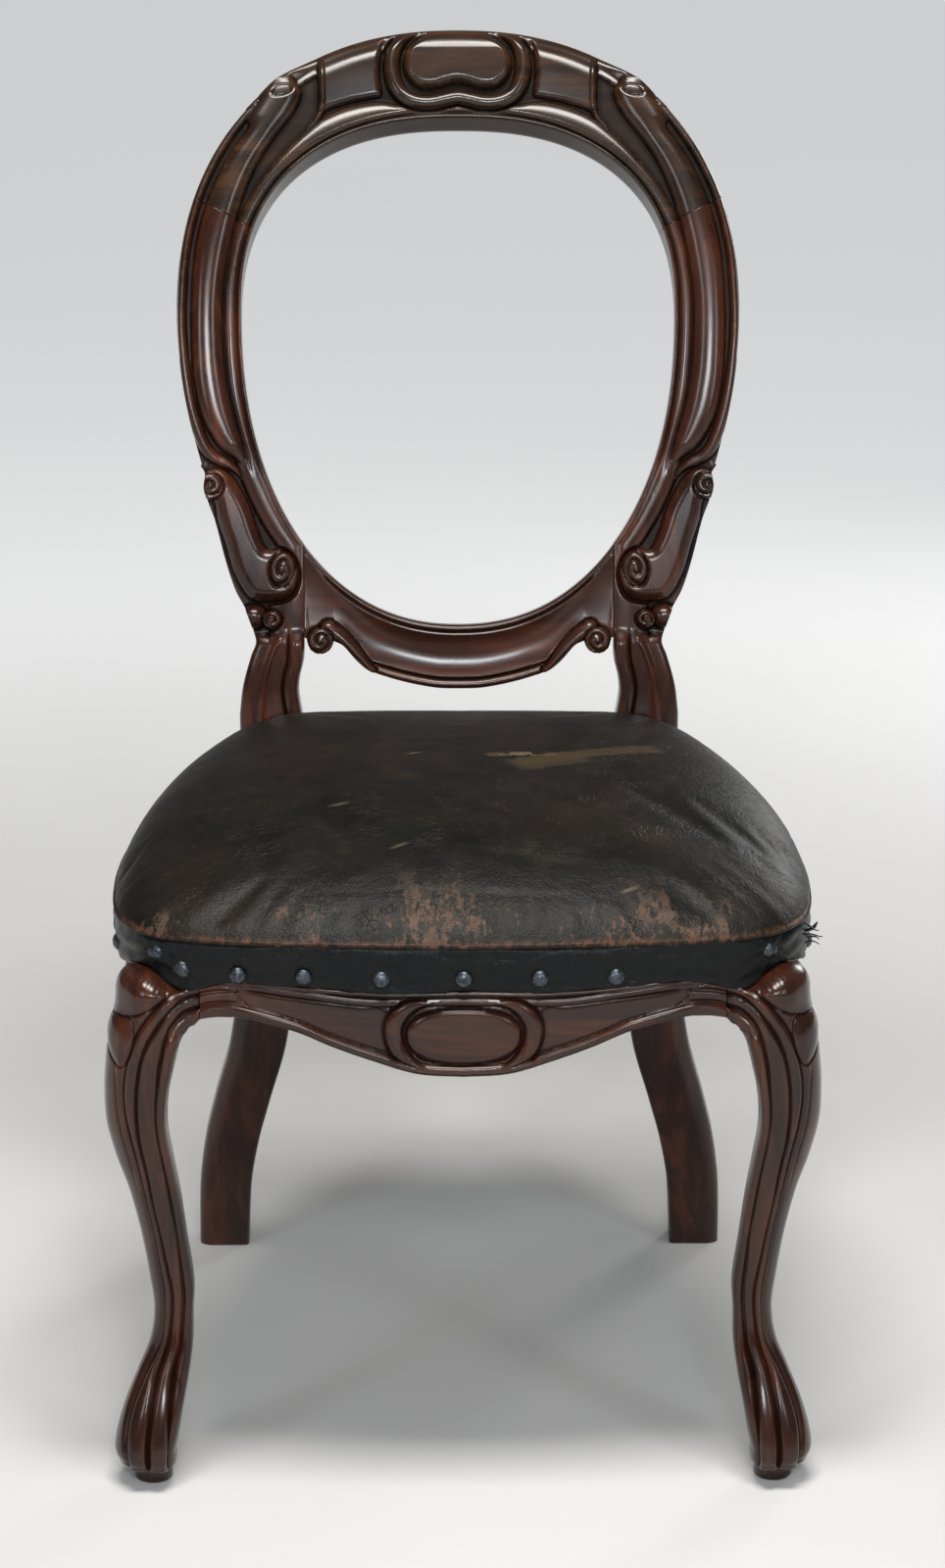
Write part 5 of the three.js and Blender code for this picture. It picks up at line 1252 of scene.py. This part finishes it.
def leather_band(material, places):
    """The strip nailed over the leather's edge, pressed in round each nail."""
    plan = seat_plan(BAND_INSET, 60)
    plan = np.roll(plan, -int(np.argmax(plan[:, 1])), axis=0)
    plan = plan[plan[:, 1] < post_face_at(RAIL_TOP) - 2.0]
    line = evenly(plan, 1000)
    at = np.linspace(0, distances(plan)[-1], len(line))
    run = np.gradient(line, axis=0)
    run /= np.hypot(run[:, 0], run[:, 1])[:, None]
    out = np.stack([run[:, 1], -run[:, 0]], -1)
    if out[0] @ (line[0] - CENTRE) < 0:
        out = -out
    foot = skirt_foot(*line.T) + 0.5 * np.sin(at / 13) + 0.35 * np.sin(at / 4.3 + 1)
    front = ease((60 - line[:, 1]) / 60)
    head = ROLL_FOOT - 0.6 - front * (0.8 + 0.8 * np.sin(at / 31) + 0.3 * np.sin(at / 7.7))
    # Its section: a share of its height, and how far out it is
    section = [(0.0, 0.35), *[(t, 1.0) for t in np.linspace(0.03, 0.97, 16)], (1.0, 0.45)]
    shown = len(section)
    section += [(t, 0.0) for t in (1.0, 0.66, 0.33, 0.0)]
    rings = []
    for t, proud in section:
        pressed = (0.6 * ease((t - 0.85) / 0.15) - 1.7 * ease((t - 0.1) / 0.6)) * (proud > 0.4)
        rings.append(np.column_stack([line + out * (2.1 * (proud - 1) - pressed), mix(foot, head, t)]))
    rings = np.array(rings).transpose(1, 0, 2)
    face = rings[:, :shown].reshape(-1, 3)
    push = np.zeros(len(face))
    for _, place, _ in places:
        d = np.linalg.norm(face - place, axis=1)
        turn = np.arctan2(face[:, 2] - place[2], np.hypot(*(face[:, :2] - place[:2]).T))
        push -= 0.85 * np.exp(-(d / 8.5) ** 2)
        push += 0.28 * np.sin(turn * 9 + place[0]) * np.exp(-((d - 11) / 5) ** 2)
    # Folds that run along the strip, and shorter ones across it
    along = np.repeat(at, shown)
    push += 0.5 * np.sin(face[:, 2] / 2.0 + 2.2 * np.sin(along / 23) + 0.9 * np.sin(along / 7.1))
    push += 0.16 * np.sin(along / 3.3 + 0.9 * np.sin(face[:, 2] / 3.1)) + 0.3 * np.sin(along / 14.5)
    rings[:, :shown, :2] += out[:, None] * push.reshape(-1, shown, 1)
    add_loft("leather_band_strip", rings, material, ["leather_band"])


def leather_fray(material, rng):
    """Torn tags of leather that stand out at the right front corner."""
    points, faces = [], []
    for k in range(5):
        root = np.array([mix(226.5, 229.5, k / 4), mix(4, 40, k / 4), rng.uniform(381, 391)])
        lead = np.array([rng.uniform(0.5, 1.0), rng.uniform(-0.9, 0.1), rng.uniform(-0.5, 0.7)])
        lead /= np.linalg.norm(lead)
        across = np.cross(lead, [0.3, 0.2, 0.9])
        across /= np.linalg.norm(across)
        up = np.cross(across, lead)
        long, wide = rng.uniform(8, 12), rng.uniform(2.6, 4.2)
        first = len(points)
        for t in np.linspace(0, 1, 7):
            middle = root + lead * (long * t - 2.5) + up * (2.2 * math.sin(t * 3 + k) * t)
            half = wide * (1 - 0.85 * t) * (1 + 0.25 * math.sin(5 * t + k))
            thick = 0.6 - 0.3 * t
            points += [middle + across * half * a + up * thick * b
                       for a, b in ((1, -1), (1, 1), (-1, 1), (-1, -1))]
        faces += [tuple(first + i for i in row) for row in loft_faces(7, 4)]
    add_object("leather_fray", build_mesh("leather_fray", np.array(points), faces), material)


NAIL_PROFILE = [
    (0.4, -9.0), (0.8, -8.2), (0.8, -0.4), (4.6, -0.25), (5.75, 0.0), (5.85, 0.3), (5.6, 0.95), (5.1, 1.6),
    (4.4, 2.25), (3.5, 2.8), (2.5, 3.15), (1.4, 3.4), (0.5, 3.48),
]


def dome_nail(number, place, out, material, rng):
    """A dome headed nail with a slightly hammered head, on its pin."""
    turn = np.linspace(0, 2 * math.pi, 26, endpoint=False)
    lean = rng.normal(0, 0.045, 2)
    dents = rng.normal(0, 0.1, (len(NAIL_PROFILE), len(turn)))
    dents = (dents + np.roll(dents, 1, 1) + np.roll(dents, -1, 1)) / 2
    radius, rise = np.array(NAIL_PROFILE).T[:, :, None]
    dents = dents * (rise > 0.5)
    r = radius + dents * 0.5
    h = rise + dents + (lean[0] * np.cos(turn) + lean[1] * np.sin(turn)) * radius * (rise > -1)
    across, up = np.array([-out[1], out[0], 0.0]), np.array([0.0, 0.0, 1.0])
    parts = ((h, out), (r * np.cos(turn), across), (r * np.sin(turn), up))
    rings = sum((amount[..., None] * way for amount, way in parts), place)
    add_loft(f"dome_nail_{number}", rings, material, [f"nail_{number}"])


STRAP_WIDTH, STRAP_THICK, STRAP_WEAVE, STRAP_SPACING = 50.0, 1.5, 1.1, 88.0


def webbing_strap(name, material, ends, crossings, first, place):
    """A woven strap that passes over and under the straps it crosses, slack by a hair between them."""
    half, thick = STRAP_WIDTH / 2, STRAP_THICK / 2
    along = np.linspace(*ends, 190)
    height = np.full(len(along), RAIL_TOP + FIT + thick)
    for k, at in enumerate(crossings, first):
        height += (-STRAP_WEAVE if k % 2 else STRAP_WEAVE) * ease((half + 9 - np.abs(along - at)) / 12)
    section = []
    for side in (1, -1):
        for a in np.linspace(-side, side, 21):
            rib = 0.12 * math.cos(a * math.pi * 7)
            section.append((half * a, side * (thick * (1 - 0.7 * abs(a) ** 12) + rib)))
    rings = [[place(at, out + 0.25 * math.sin(at / 2.1), z + up) for out, up in section]
             for at, z in zip(along, height)]
    add_loft(name + "_woven", rings, material, [name])


def webbing(material):
    shifts = [-STRAP_SPACING, 0.0, STRAP_SPACING]
    inset = RAIL_FACE + EDGE
    for k, shift in enumerate(shifts):
        ends = (plan_edge(inset, 0, abs(shift) + STRAP_WIDTH / 2, -1)[0], plan_edge(inset, 0, 0.0, 1)[0])
        webbing_strap(f"webbing_lengthwise_{k + 1}", material, ends, [CENTRE[1] + s for s in shifts], k,
                      lambda at, out, z: (shift + out, at, z))
    for k, shift in enumerate(shifts):
        depth = CENTRE[1] + shift
        reach = min(plan_edge(inset, 1, depth + side * STRAP_WIDTH / 2, 1)[0] for side in (-1, 1))
        webbing_strap(f"webbing_crosswise_{k + 1}", material, (-reach, reach), shifts, k + 1,
                      lambda at, out, z: (at, depth + out, z))


HESSIAN_FOOT, HESSIAN_THICK, HESSIAN_INSET = 385.25, 1.2, 12.0


def hessian_sheet(material):
    """Coarse sacking stretched over the webbing."""
    edge = seat_plan(HESSIAN_INSET, 12)
    shares = np.linspace(0.02, 1, 26)
    rings = [np.column_stack([CENTRE + (edge - CENTRE) * share, np.full(len(edge), z)])
             for z, order in ((HESSIAN_FOOT + HESSIAN_THICK, shares), (HESSIAN_FOOT, shares[::-1]))
             for share in order]
    points = clear_posts(np.vstack(rings))[0].reshape(len(rings), len(edge), 3)
    piece = add_loft("hessian_woven", points, material, ["hessian"])


# ---------------------------------------------------------------- materials


class Surface:
    """A node material under construction."""

    def __init__(self, name):
        self.material = bpy.data.materials.new(name)
        self.material.use_nodes = True
        self.tree = self.material.node_tree
        self.shader = self.tree.nodes["Principled BSDF"]
        self.place = self.add("ShaderNodeTexCoord").outputs["Object"]

    def add(self, kind, inputs=None, **settings):
        node = self.tree.nodes.new(kind)
        for key, value in settings.items():
            setattr(node, key, value)
        for key, value in (inputs or {}).items():
            self.put(node.inputs[key], value)
        return node

    def put(self, socket, value):
        if isinstance(value, bpy.types.NodeSocket):
            self.tree.links.new(value, socket)
        else:
            socket.default_value = value

    def math(self, kind, a, b=0.0, clamp=False):
        return self.add("ShaderNodeMath", {0: a, 1: b}, operation=kind, use_clamp=clamp).outputs[0]

    def times(self, *factors):
        return functools.reduce(lambda a, b: self.math("MULTIPLY", a, b), factors)

    def plus(self, *terms):
        return functools.reduce(lambda a, b: self.math("ADD", a, b), terms)

    def stretch(self, scale, shift=(0, 0, 0)):
        inputs = {"Vector": self.place, "Scale": scale, "Location": shift}
        return self.add("ShaderNodeMapping", inputs).outputs[0]

    def noise(self, scale, detail=4.0, rough=0.5, twist=0.0, of=None):
        inputs = {"Vector": of or self.place, "Scale": scale, "Detail": detail, "Roughness": rough,
                  "Distortion": twist}
        return self.add("ShaderNodeTexNoise", inputs).outputs["Fac"]

    def ramp(self, value, *stops):
        node = self.add("ShaderNodeValToRGB", {"Fac": value})
        band = node.color_ramp
        while len(band.elements) < len(stops):
            band.elements.new(0.5)
        for element, (at, colour) in zip(band.elements, stops):
            element.position, element.color = at, colour
        return node.outputs["Color"]

    def blend(self, share, a, b):
        return self.add("ShaderNodeMix", {0: share, 6: a, 7: b}, data_type="RGBA").outputs[2]

    def range(self, value, low, high, to_low=0.0, to_high=1.0):
        inputs = {"Value": value, "From Min": low, "From Max": high, "To Min": to_low, "To Max": to_high}
        return self.add("ShaderNodeMapRange", inputs).outputs[0]

    def bump(self, height, strength, distance, normal=None):
        inputs = {"Height": height, "Strength": strength, "Distance": distance}
        return self.add("ShaderNodeBump", inputs | ({"Normal": normal} if normal else {})).outputs[0]

    def done(self, **sockets):
        for key, value in sockets.items():
            self.put(self.shader.inputs[key.replace("_", " ")], value)
        return self.material


def rgb(r, g, b):
    """A colour as its name would be written for a screen, made linear."""
    linear = [((c / 255 + 0.055) / 1.055) ** 2.4 if c > 10 else c / 255 / 12.92 for c in (r, g, b)]
    return (*linear, 1.0)


def mahogany(name, along, dark, mid, light, seed, wear=0.25, gloss=0.24):
    """French polished mahogany: figure and pores along the grain, hollows darkened partly as dirt and partly
    as painted shade, worn high edges.
    """
    s = Surface(name)

    def along_grain(squeeze, shift=(0, 0, 0)):
        return s.stretch(tuple(squeeze if axis == along else 1.0 for axis in "xyz"), shift)

    grain = along_grain(0.09, (seed, seed * 0.7, seed * 0.3))
    figure = s.noise(36, 5, 0.62, 1.4, grain)
    stripes = s.noise(150, 3, 0.6, 0.6, grain)
    pores = s.noise(900, 2, 0.7, 0.0, along_grain(0.035))
    patch = s.noise(9, 3, 0.55, 0.3)
    colour = s.ramp(figure, (0.34, dark), (0.52, mid), (0.74, light))
    colour = s.blend(s.range(stripes, 0.45, 0.75, 0.0, 0.3), colour, dark)
    colour = s.blend(s.range(patch, 0.45, 0.75, 0.0, 0.25), colour, light)
    colour = s.blend(s.range(pores, 0.6, 0.74, 0.0, 0.35), colour, rgb(15, 8, 6))
    carve = s.add("ShaderNodeAttribute", attribute_name="carve", attribute_type="GEOMETRY").outputs["Fac"]
    rub = s.range(s.noise(110, 5, 0.65), 0.54, 0.72, 0.02, wear)
    edge = s.math("MULTIPLY", s.range(carve, 0.3, 1.0), rub, True)
    colour = s.blend(edge, colour, s.blend(0.5, light, rgb(140, 92, 60)))
    # Hollows of the carving go darker: partly real dirt, partly painted shade in the grooves
    dirt_and_shade = s.range(carve, -0.85, -0.15, 0.75, 0.0)
    colour = s.blend(dirt_and_shade, colour, rgb(10, 6, 5))
    scratch = s.noise(420, 3, 0.8, 2.5, s.stretch((1, 1, 0.25)))
    colour = s.blend(s.range(scratch, 0.74, 0.8, 0.0, 0.25), colour, rgb(120, 78, 52))
    rough = s.plus(s.range(patch, 0.35, 0.7, gloss - 0.03, gloss + 0.07), s.times(dirt_and_shade, 0.15))
    normal = s.bump(s.plus(s.times(pores, -0.3), s.times(s.noise(22, 2), 0.9)), 0.2, 0.0004)
    return s.done(Base_Color=colour, Roughness=rough, Normal=normal, Coat_Roughness=0.16,
                  Coat_Weight=s.range(dirt_and_shade, 0.0, 0.7, 0.28, 0.02),
                  Specular_IOR_Level=s.range(dirt_and_shade, 0.0, 0.7, 0.3, 0.08))


def beech(name):
    s = Surface(name)
    grain = s.stretch((0.1, 1, 1))
    figure = s.noise(45, 4, 0.6, 0.8, grain)
    fleck = s.noise(700, 2, 0.6, 0, s.stretch((0.12, 1, 1)))
    colour = s.ramp(figure, (0.3, rgb(128, 96, 62)), (0.55, rgb(158, 122, 82)), (0.75, rgb(176, 142, 100)))
    colour = s.blend(s.range(fleck, 0.6, 0.72, 0, 0.5), colour, rgb(104, 72, 44))
    colour = s.blend(s.range(s.noise(14, 4), 0.45, 0.7, 0, 0.5), colour, rgb(96, 72, 50))
    rough = s.range(fleck, 0.3, 0.7, 0.58, 0.8)
    return s.done(Base_Color=colour, Roughness=rough, Normal=s.bump(fleck, 0.5, 0.0004))


# Where the leather changes, in metres: the strip's upper edge, and the worn front edge
STRIP_TOP = 0.3885
WORN_FROM, WORN_FULL = -0.235, -0.272


def leather(name):
    """Greenish black leather, cracked and rubbed to brown where it is sat on and along its front edge."""
    s = Surface(name)
    grain = s.add("ShaderNodeTexVoronoi", {"Vector": s.place, "Scale": 620.0}, feature="F1")
    crackle = s.add("ShaderNodeTexVoronoi", {"Vector": s.place, "Scale": 210.0}, feature="DISTANCE_TO_EDGE")
    broad = s.noise(7, 5, 0.6, 0.4)
    cloud = s.noise(26, 6, 0.65, 0.5)
    fine = s.noise(160, 6, 0.7)
    x, y, z = s.add("ShaderNodeSeparateXYZ", {0: s.place}).outputs
    colour = s.ramp(cloud, (0.3, rgb(12, 12, 11)), (0.52, rgb(20, 19, 16)), (0.74, rgb(31, 27, 22)))
    # Browner where it is sat on
    colour = s.blend(s.range(broad, 0.42, 0.66, 0.0, 0.4), colour, rgb(42, 32, 24))
    # Along the front edge the finish is worn away in upright streaks and patches
    to_front = s.times(s.range(y, WORN_FROM, WORN_FULL), s.range(z, 0.386, 0.392))
    streaks = s.noise(170, 8, 0.8, 0.5, s.stretch((1, 0.5, 0.5)))
    spread = s.noise(19, 4, 0.6, 0.3, s.stretch((1, 0.6, 0.6), (0.37, 0, 0)))
    patches = s.range(s.plus(streaks, s.times(spread, 0.7)), 0.925, 0.985, 0.0, 0.9)
    worn = s.math("MULTIPLY", to_front, patches, True)
    colour = s.blend(s.times(worn, s.range(fine, 0.35, 0.6, 0.5, 1.0)), colour, rgb(104, 82, 68))
    # A brown line where the cover turns under the strip's edge
    line = s.times(s.range(z, STRIP_TOP, STRIP_TOP + 0.002), s.range(z, 0.394, 0.392),
                   s.range(y, -0.2, -0.24), s.range(streaks, 0.42, 0.58, 0.0, 0.8))
    colour = s.blend(line, colour, rgb(84, 56, 40))
    # Rubbed and cracked all over
    rubbed = s.range(s.noise(120, 9, 0.85, 0.5), 0.56, 0.66, 0.0, 0.6)
    rubbed = s.times(rubbed, s.range(broad, 0.4, 0.6, 0.25, 1.0))
    colour = s.blend(rubbed, colour, rgb(66, 55, 42))
    crack = s.range(crackle.outputs["Distance"], 0.0, 0.07, 1.0, 0.0)
    crack = s.times(crack, s.range(s.noise(40, 4), 0.52, 0.66))
    colour = s.blend(s.times(crack, 0.22), colour, rgb(80, 68, 52))
    # Scuffs on the seat, the pale torn edge of the slit, and the near-black inside of the slit, which is
    # painted shade in the open tear
    for start, end, half, shade, strength in SCUFFS_AND_SLIT_SHADE:
        (ax, ay), (bx, by) = [(px * MM, (py - SHIFT_Y) * MM) for px, py in (start, end)]
        length = math.hypot(bx - ax, by - ay)
        ux, uy = (bx - ax) / length, (by - ay) / length
        dx, dy = s.math("SUBTRACT", x, ax), s.math("SUBTRACT", y, ay)
        along = s.plus(s.times(dx, ux), s.times(dy, uy))
        off = s.math("ABSOLUTE", s.math("SUBTRACT", s.times(dx, -uy), s.times(dy, -ux)))
        off = s.plus(off, s.range(fine, 0.3, 0.7, -half * 0.3 * MM, half * 0.3 * MM))
        mask = s.range(off, half * 0.75 * MM, half * 1.05 * MM, 1.0, 0.0)
        mask = s.times(mask, s.range(along, -0.004, 0.006), s.math("GREATER_THAN", z, 0.4),
                       s.range(along, length - 0.006, length + 0.004, 1.0, 0.0))
        colour = s.blend(s.times(mask, strength), colour, rgb(*shade))
    # The strip is blacker and glossier
    strip = s.range(z, STRIP_TOP, STRIP_TOP - 0.001)
    colour = s.blend(s.times(strip, 0.75), colour, rgb(14, 17, 20))
    rough = s.plus(s.range(cloud, 0.3, 0.7, 0.36, 0.48), s.times(worn, 0.25))
    rough = s.math("SUBTRACT", rough, s.times(strip, 0.1))
    normal = s.bump(s.plus(s.times(grain.outputs["Distance"], 0.35), s.times(crack, -0.6)), 0.7, 0.0006)
    normal = s.bump(s.plus(s.times(fine, 0.5), s.noise(34, 4, 0.6)), 0.5, 0.0022, normal)
    return s.done(Base_Color=colour, Roughness=rough, Normal=normal, Specular_IOR_Level=0.17)


# Each mark: start, end, half width, colour and strength; the near-black one along the tear is painted shade
SCUFFS_AND_SLIT_SHADE = [
    ((38, 188), (88, 208), 14.0, (58, 48, 33), 0.85), ((36, 194), (140, 242), 10.5, (62, 51, 34), 0.9),
    ((20, 214.6), (65, 215.4), 3.9, (122, 104, 78), 0.85), ((21, 214.8), (64, 215.4), 3.1, (14, 11, 9), 0.97),
    ((-46, 50), (-38, 54), 1.5, (104, 94, 78), 0.6), ((-88, 108), (-78, 112), 1.8, (100, 90, 74), 0.6),
    ((-37, 217), (-30, 220), 1.6, (118, 108, 90), 0.7), ((105, 12), (113, 16), 1.5, (112, 100, 82), 0.7),
]


def nail_metal(name):
    s = Surface(name)
    spots = s.noise(420, 5, 0.7)
    colour = s.ramp(spots, (0.34, rgb(40, 43, 46)), (0.56, rgb(76, 82, 88)), (0.75, rgb(118, 124, 130)))
    rough = s.range(spots, 0.3, 0.72, 0.26, 0.46)
    normal = s.bump(s.noise(900, 3), 0.35, 0.0003)
    return s.done(Base_Color=colour, Metallic=0.9, Roughness=rough, Normal=normal)


def screw_steel(name):
    s = Surface(name)
    lines = s.noise(700, 3, 0.6, 0, s.stretch((1, 1, 0.1)))
    rust = s.range(s.noise(380, 5, 0.7), 0.52, 0.64, 0, 0.8)
    colour = s.ramp(lines, (0.3, rgb(104, 104, 108)), (0.7, rgb(150, 150, 152)))
    colour = s.blend(rust, colour, rgb(88, 52, 32))
    return s.done(Base_Color=colour, Metallic=0.85, Roughness=s.range(lines, 0.3, 0.7, 0.3, 0.5),
                  Normal=s.bump(lines, 0.4, 0.0002))


def woven(name, warp_pitch, weft_pitch, light, dark):
    """Plain weave: two sets of threads that pass over and under each other. Where a thread dips, and in the
    gaps between threads, its colour is painted darker as shade.
    """
    s = Surface(name)
    x, y, _ = s.add("ShaderNodeSeparateXYZ", {0: s.place}).outputs
    wobble = s.times(s.noise(90, 3), 0.0011)
    u, v = s.times(s.plus(x, wobble), math.pi / warp_pitch), s.times(s.plus(y, wobble), math.pi / weft_pitch)
    warp, weft = [s.math("ABSOLUTE", s.math("SINE", thread)) for thread in (u, v)]
    over = s.math("GREATER_THAN", s.times(s.math("COSINE", u), s.math("COSINE", v)), 0.0)
    height = s.add("ShaderNodeMix", {0: over, 2: warp, 3: weft}, data_type="FLOAT").outputs[0]
    fibre = s.noise(1500, 4, 0.7)
    # Low parts of the threads and the gaps between them: painted shade
    colour = s.blend(s.range(height, 0.1, 0.9), dark, light)
    colour = s.blend(s.range(fibre, 0.4, 0.7, 0.0, 0.5), colour, dark)
    colour = s.blend(s.range(s.noise(16, 4), 0.45, 0.7, 0.0, 0.45), colour, rgb(96, 78, 54))
    normal = s.bump(s.plus(height, s.times(fibre, 0.4)), 0.8, 0.0006)
    return s.done(Base_Color=colour, Roughness=s.range(fibre, 0.3, 0.7, 0.82, 0.98), Normal=normal)


def floor_surface():
    """A pale floor. Far from the lamps it glows a little, so that it stays as pale as near the chair."""
    s = Surface("pale_floor")
    colour = s.ramp(s.noise(1.2, 4), (0.3, rgb(214, 213, 211)), (0.7, rgb(220, 219, 217)))
    away = s.add("ShaderNodeVectorMath", {0: s.place}, operation="LENGTH").outputs["Value"]
    glow = s.add("ShaderNodeMapRange", {"Value": away, "From Min": 0.5, "From Max": 2.8, "To Max": 0.56},
                 interpolation_type="SMOOTHSTEP").outputs[0]
    path = s.add("ShaderNodeLightPath").outputs
    seen = s.math("MAXIMUM", path["Is Glossy Ray"], path["Is Transmission Ray"])
    seen = s.math("MAXIMUM", path["Is Camera Ray"], seen)
    return s.done(Base_Color=colour, Roughness=s.range(s.noise(40, 4), 0.3, 0.7, 0.7, 0.8),
                  Specular_IOR_Level=0.2, Emission_Color=(0.93, 0.94, 0.95, 1),
                  Emission_Strength=s.times(glow, seen))


# ---------------------------------------------------------------- stage, light and camera


FLOOR_REACH = 40.0
LENS, SENSOR = 90, 36
CAMERA_PLACE = (-0.0187, -2.70504, 1.1649)
CAMERA_DOWN, CAMERA_TURN = math.radians(15.39), math.radians(-0.58)
AIM = np.array([0, 0, 0.5])
# Each lamp: its place, size in metres, watts and colour
LAMPS = {
    "overhead": ((0.0, -0.7, 2.6), (1.2, 0.6), 60, (1, 0.97, 0.93)),
    "front": ((0.1, -3.3, 2.0), (0.8, 0.45), 50, (0.93, 0.97, 1)),
    "left": ((-1.9, -2.5, 1.7), (0.5, 1.0), 13, (0.88, 0.95, 1)),
    "right": ((1.9, -2.5, 1.7), (0.5, 1.0), 13, (0.88, 0.95, 1)),
    "behind": ((1.6, 2.2, 1.3), (0.8, 0.8), 16, (1, 1, 1)),
}


def link_object(name, data):
    piece = bpy.data.objects.new(name, data)
    bpy.context.scene.collection.objects.link(piece)
    return piece


def stage():
    mesh = bpy.data.meshes.new("floor")
    corners = [(x * FLOOR_REACH, y * FLOOR_REACH, 0) for x, y in ((-1, -1), (1, -1), (1, 1), (-1, 1))]
    mesh.from_pydata(corners, [], [(0, 1, 2, 3)])
    mesh.materials.append(floor_surface())
    floor = link_object("floor", mesh)


def lamp(name, place, size, watts, colour):
    data = bpy.data.lights.new(name, "AREA")
    data.shape = "RECTANGLE"
    data.size, data.size_y = size
    data.energy, data.color = watts, colour
    towards = AIM - np.array(place)
    yaw = math.atan2(towards[1], towards[0])
    pitch = math.atan2(-towards[2], math.hypot(towards[0], towards[1]))
    light = link_object(name, data)
    light.location = place
    light.rotation_euler = (math.pi / 2 - pitch, 0, yaw - math.pi / 2)


def light_up():
    world = bpy.data.worlds.new("world")
    bpy.context.scene.world = world
    world.use_nodes = True
    back = world.node_tree.nodes["Background"]
    back.inputs["Color"].default_value = (0.92, 0.95, 1.0, 1)
    back.inputs["Strength"].default_value = 0.13
    for name, settings in LAMPS.items():
        lamp(name, *settings)


def place_camera():
    """The photograph's own camera, solved from its perspective."""
    data = bpy.data.cameras.new("camera")
    data.lens, data.sensor_width = LENS, SENSOR
    camera = link_object("camera", data)
    camera.location = CAMERA_PLACE
    camera.rotation_euler = (math.pi / 2 - CAMERA_DOWN, 0, CAMERA_TURN)
    bpy.context.scene.camera = camera


# ---------------------------------------------------------------- the chair


def dress(names, material):
    """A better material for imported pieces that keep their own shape."""
    for name in names:
        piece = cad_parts[name]
        for place in piece.material_slots:
            place.material = material


def chair():
    dark, mid, light = rgb(27, 11, 7), rgb(50, 23, 13), rgb(86, 43, 24)
    plain = rgb(44, 24, 18), rgb(70, 38, 27), rgb(98, 56, 38), 4.4
    sides = ("right", "left")
    # The crest's colours are greyer and less red than the posts': a painted sheen of the overhead lamp on its
    # raked face
    crest_rail(mahogany("mahogany_crest_sheen", "x", rgb(23, 13, 8), rgb(43, 26, 15), rgb(72, 46, 26), 1.3))
    for side, name, seed in ((-1, "left", 3.1), (1, "right", 5.7)):
        back_post(side, mahogany(f"mahogany_post_{name}", "z", dark, mid, light, seed))
        front_leg(side, mahogany(f"mahogany_leg_{name}", "z", dark, mid, light, seed + 1))
    cross_rail(mahogany("mahogany_cross", "x", dark, mid, light, 7.7))
    front_seat_rail(mahogany("mahogany_front", "x", dark, mid, light, 2.9))
    dress([f"{side}_seat_rail" for side in sides], mahogany("mahogany_rail", "y", *plain, gloss=0.42))
    dress(["back_seat_rail"], mahogany("mahogany_back_rail", "x", *plain, gloss=0.42))
    corners = [f"{side}_{end}_corner" for side in sides for end in ("front", "back")]
    dress([corner + "_block" for corner in corners], beech("beech_block"))
    dress([f"{side}_crest_dowel_{k}" for side in sides for k in (1, 2)], beech("beech_dowel"))
    dress([f"{corner}_screw_{k}" for corner in corners for k in (1, 2)], screw_steel("screw_steel"))
    hide = leather("seat_leather")
    cushion(hide)
    places = nail_places()
    leather_band(hide, places)
    rng = np.random.default_rng(7)
    leather_fray(hide, rng)
    metal = nail_metal("nail_metal")
    for number, place, out in places:
        dome_nail(number, place, out, metal, rng)
    webbing(woven("jute_webbing", 0.0024, 0.0028, rgb(176, 158, 122), rgb(104, 88, 62)))
    hessian_sheet(woven("hessian_weave", 0.0019, 0.0019, rgb(160, 132, 92), rgb(92, 70, 44)))


stage()
light_up()
place_camera()
chair()
bpy.context.scene.view_settings.view_transform = "Standard"
bpy.context.view_layer.update()
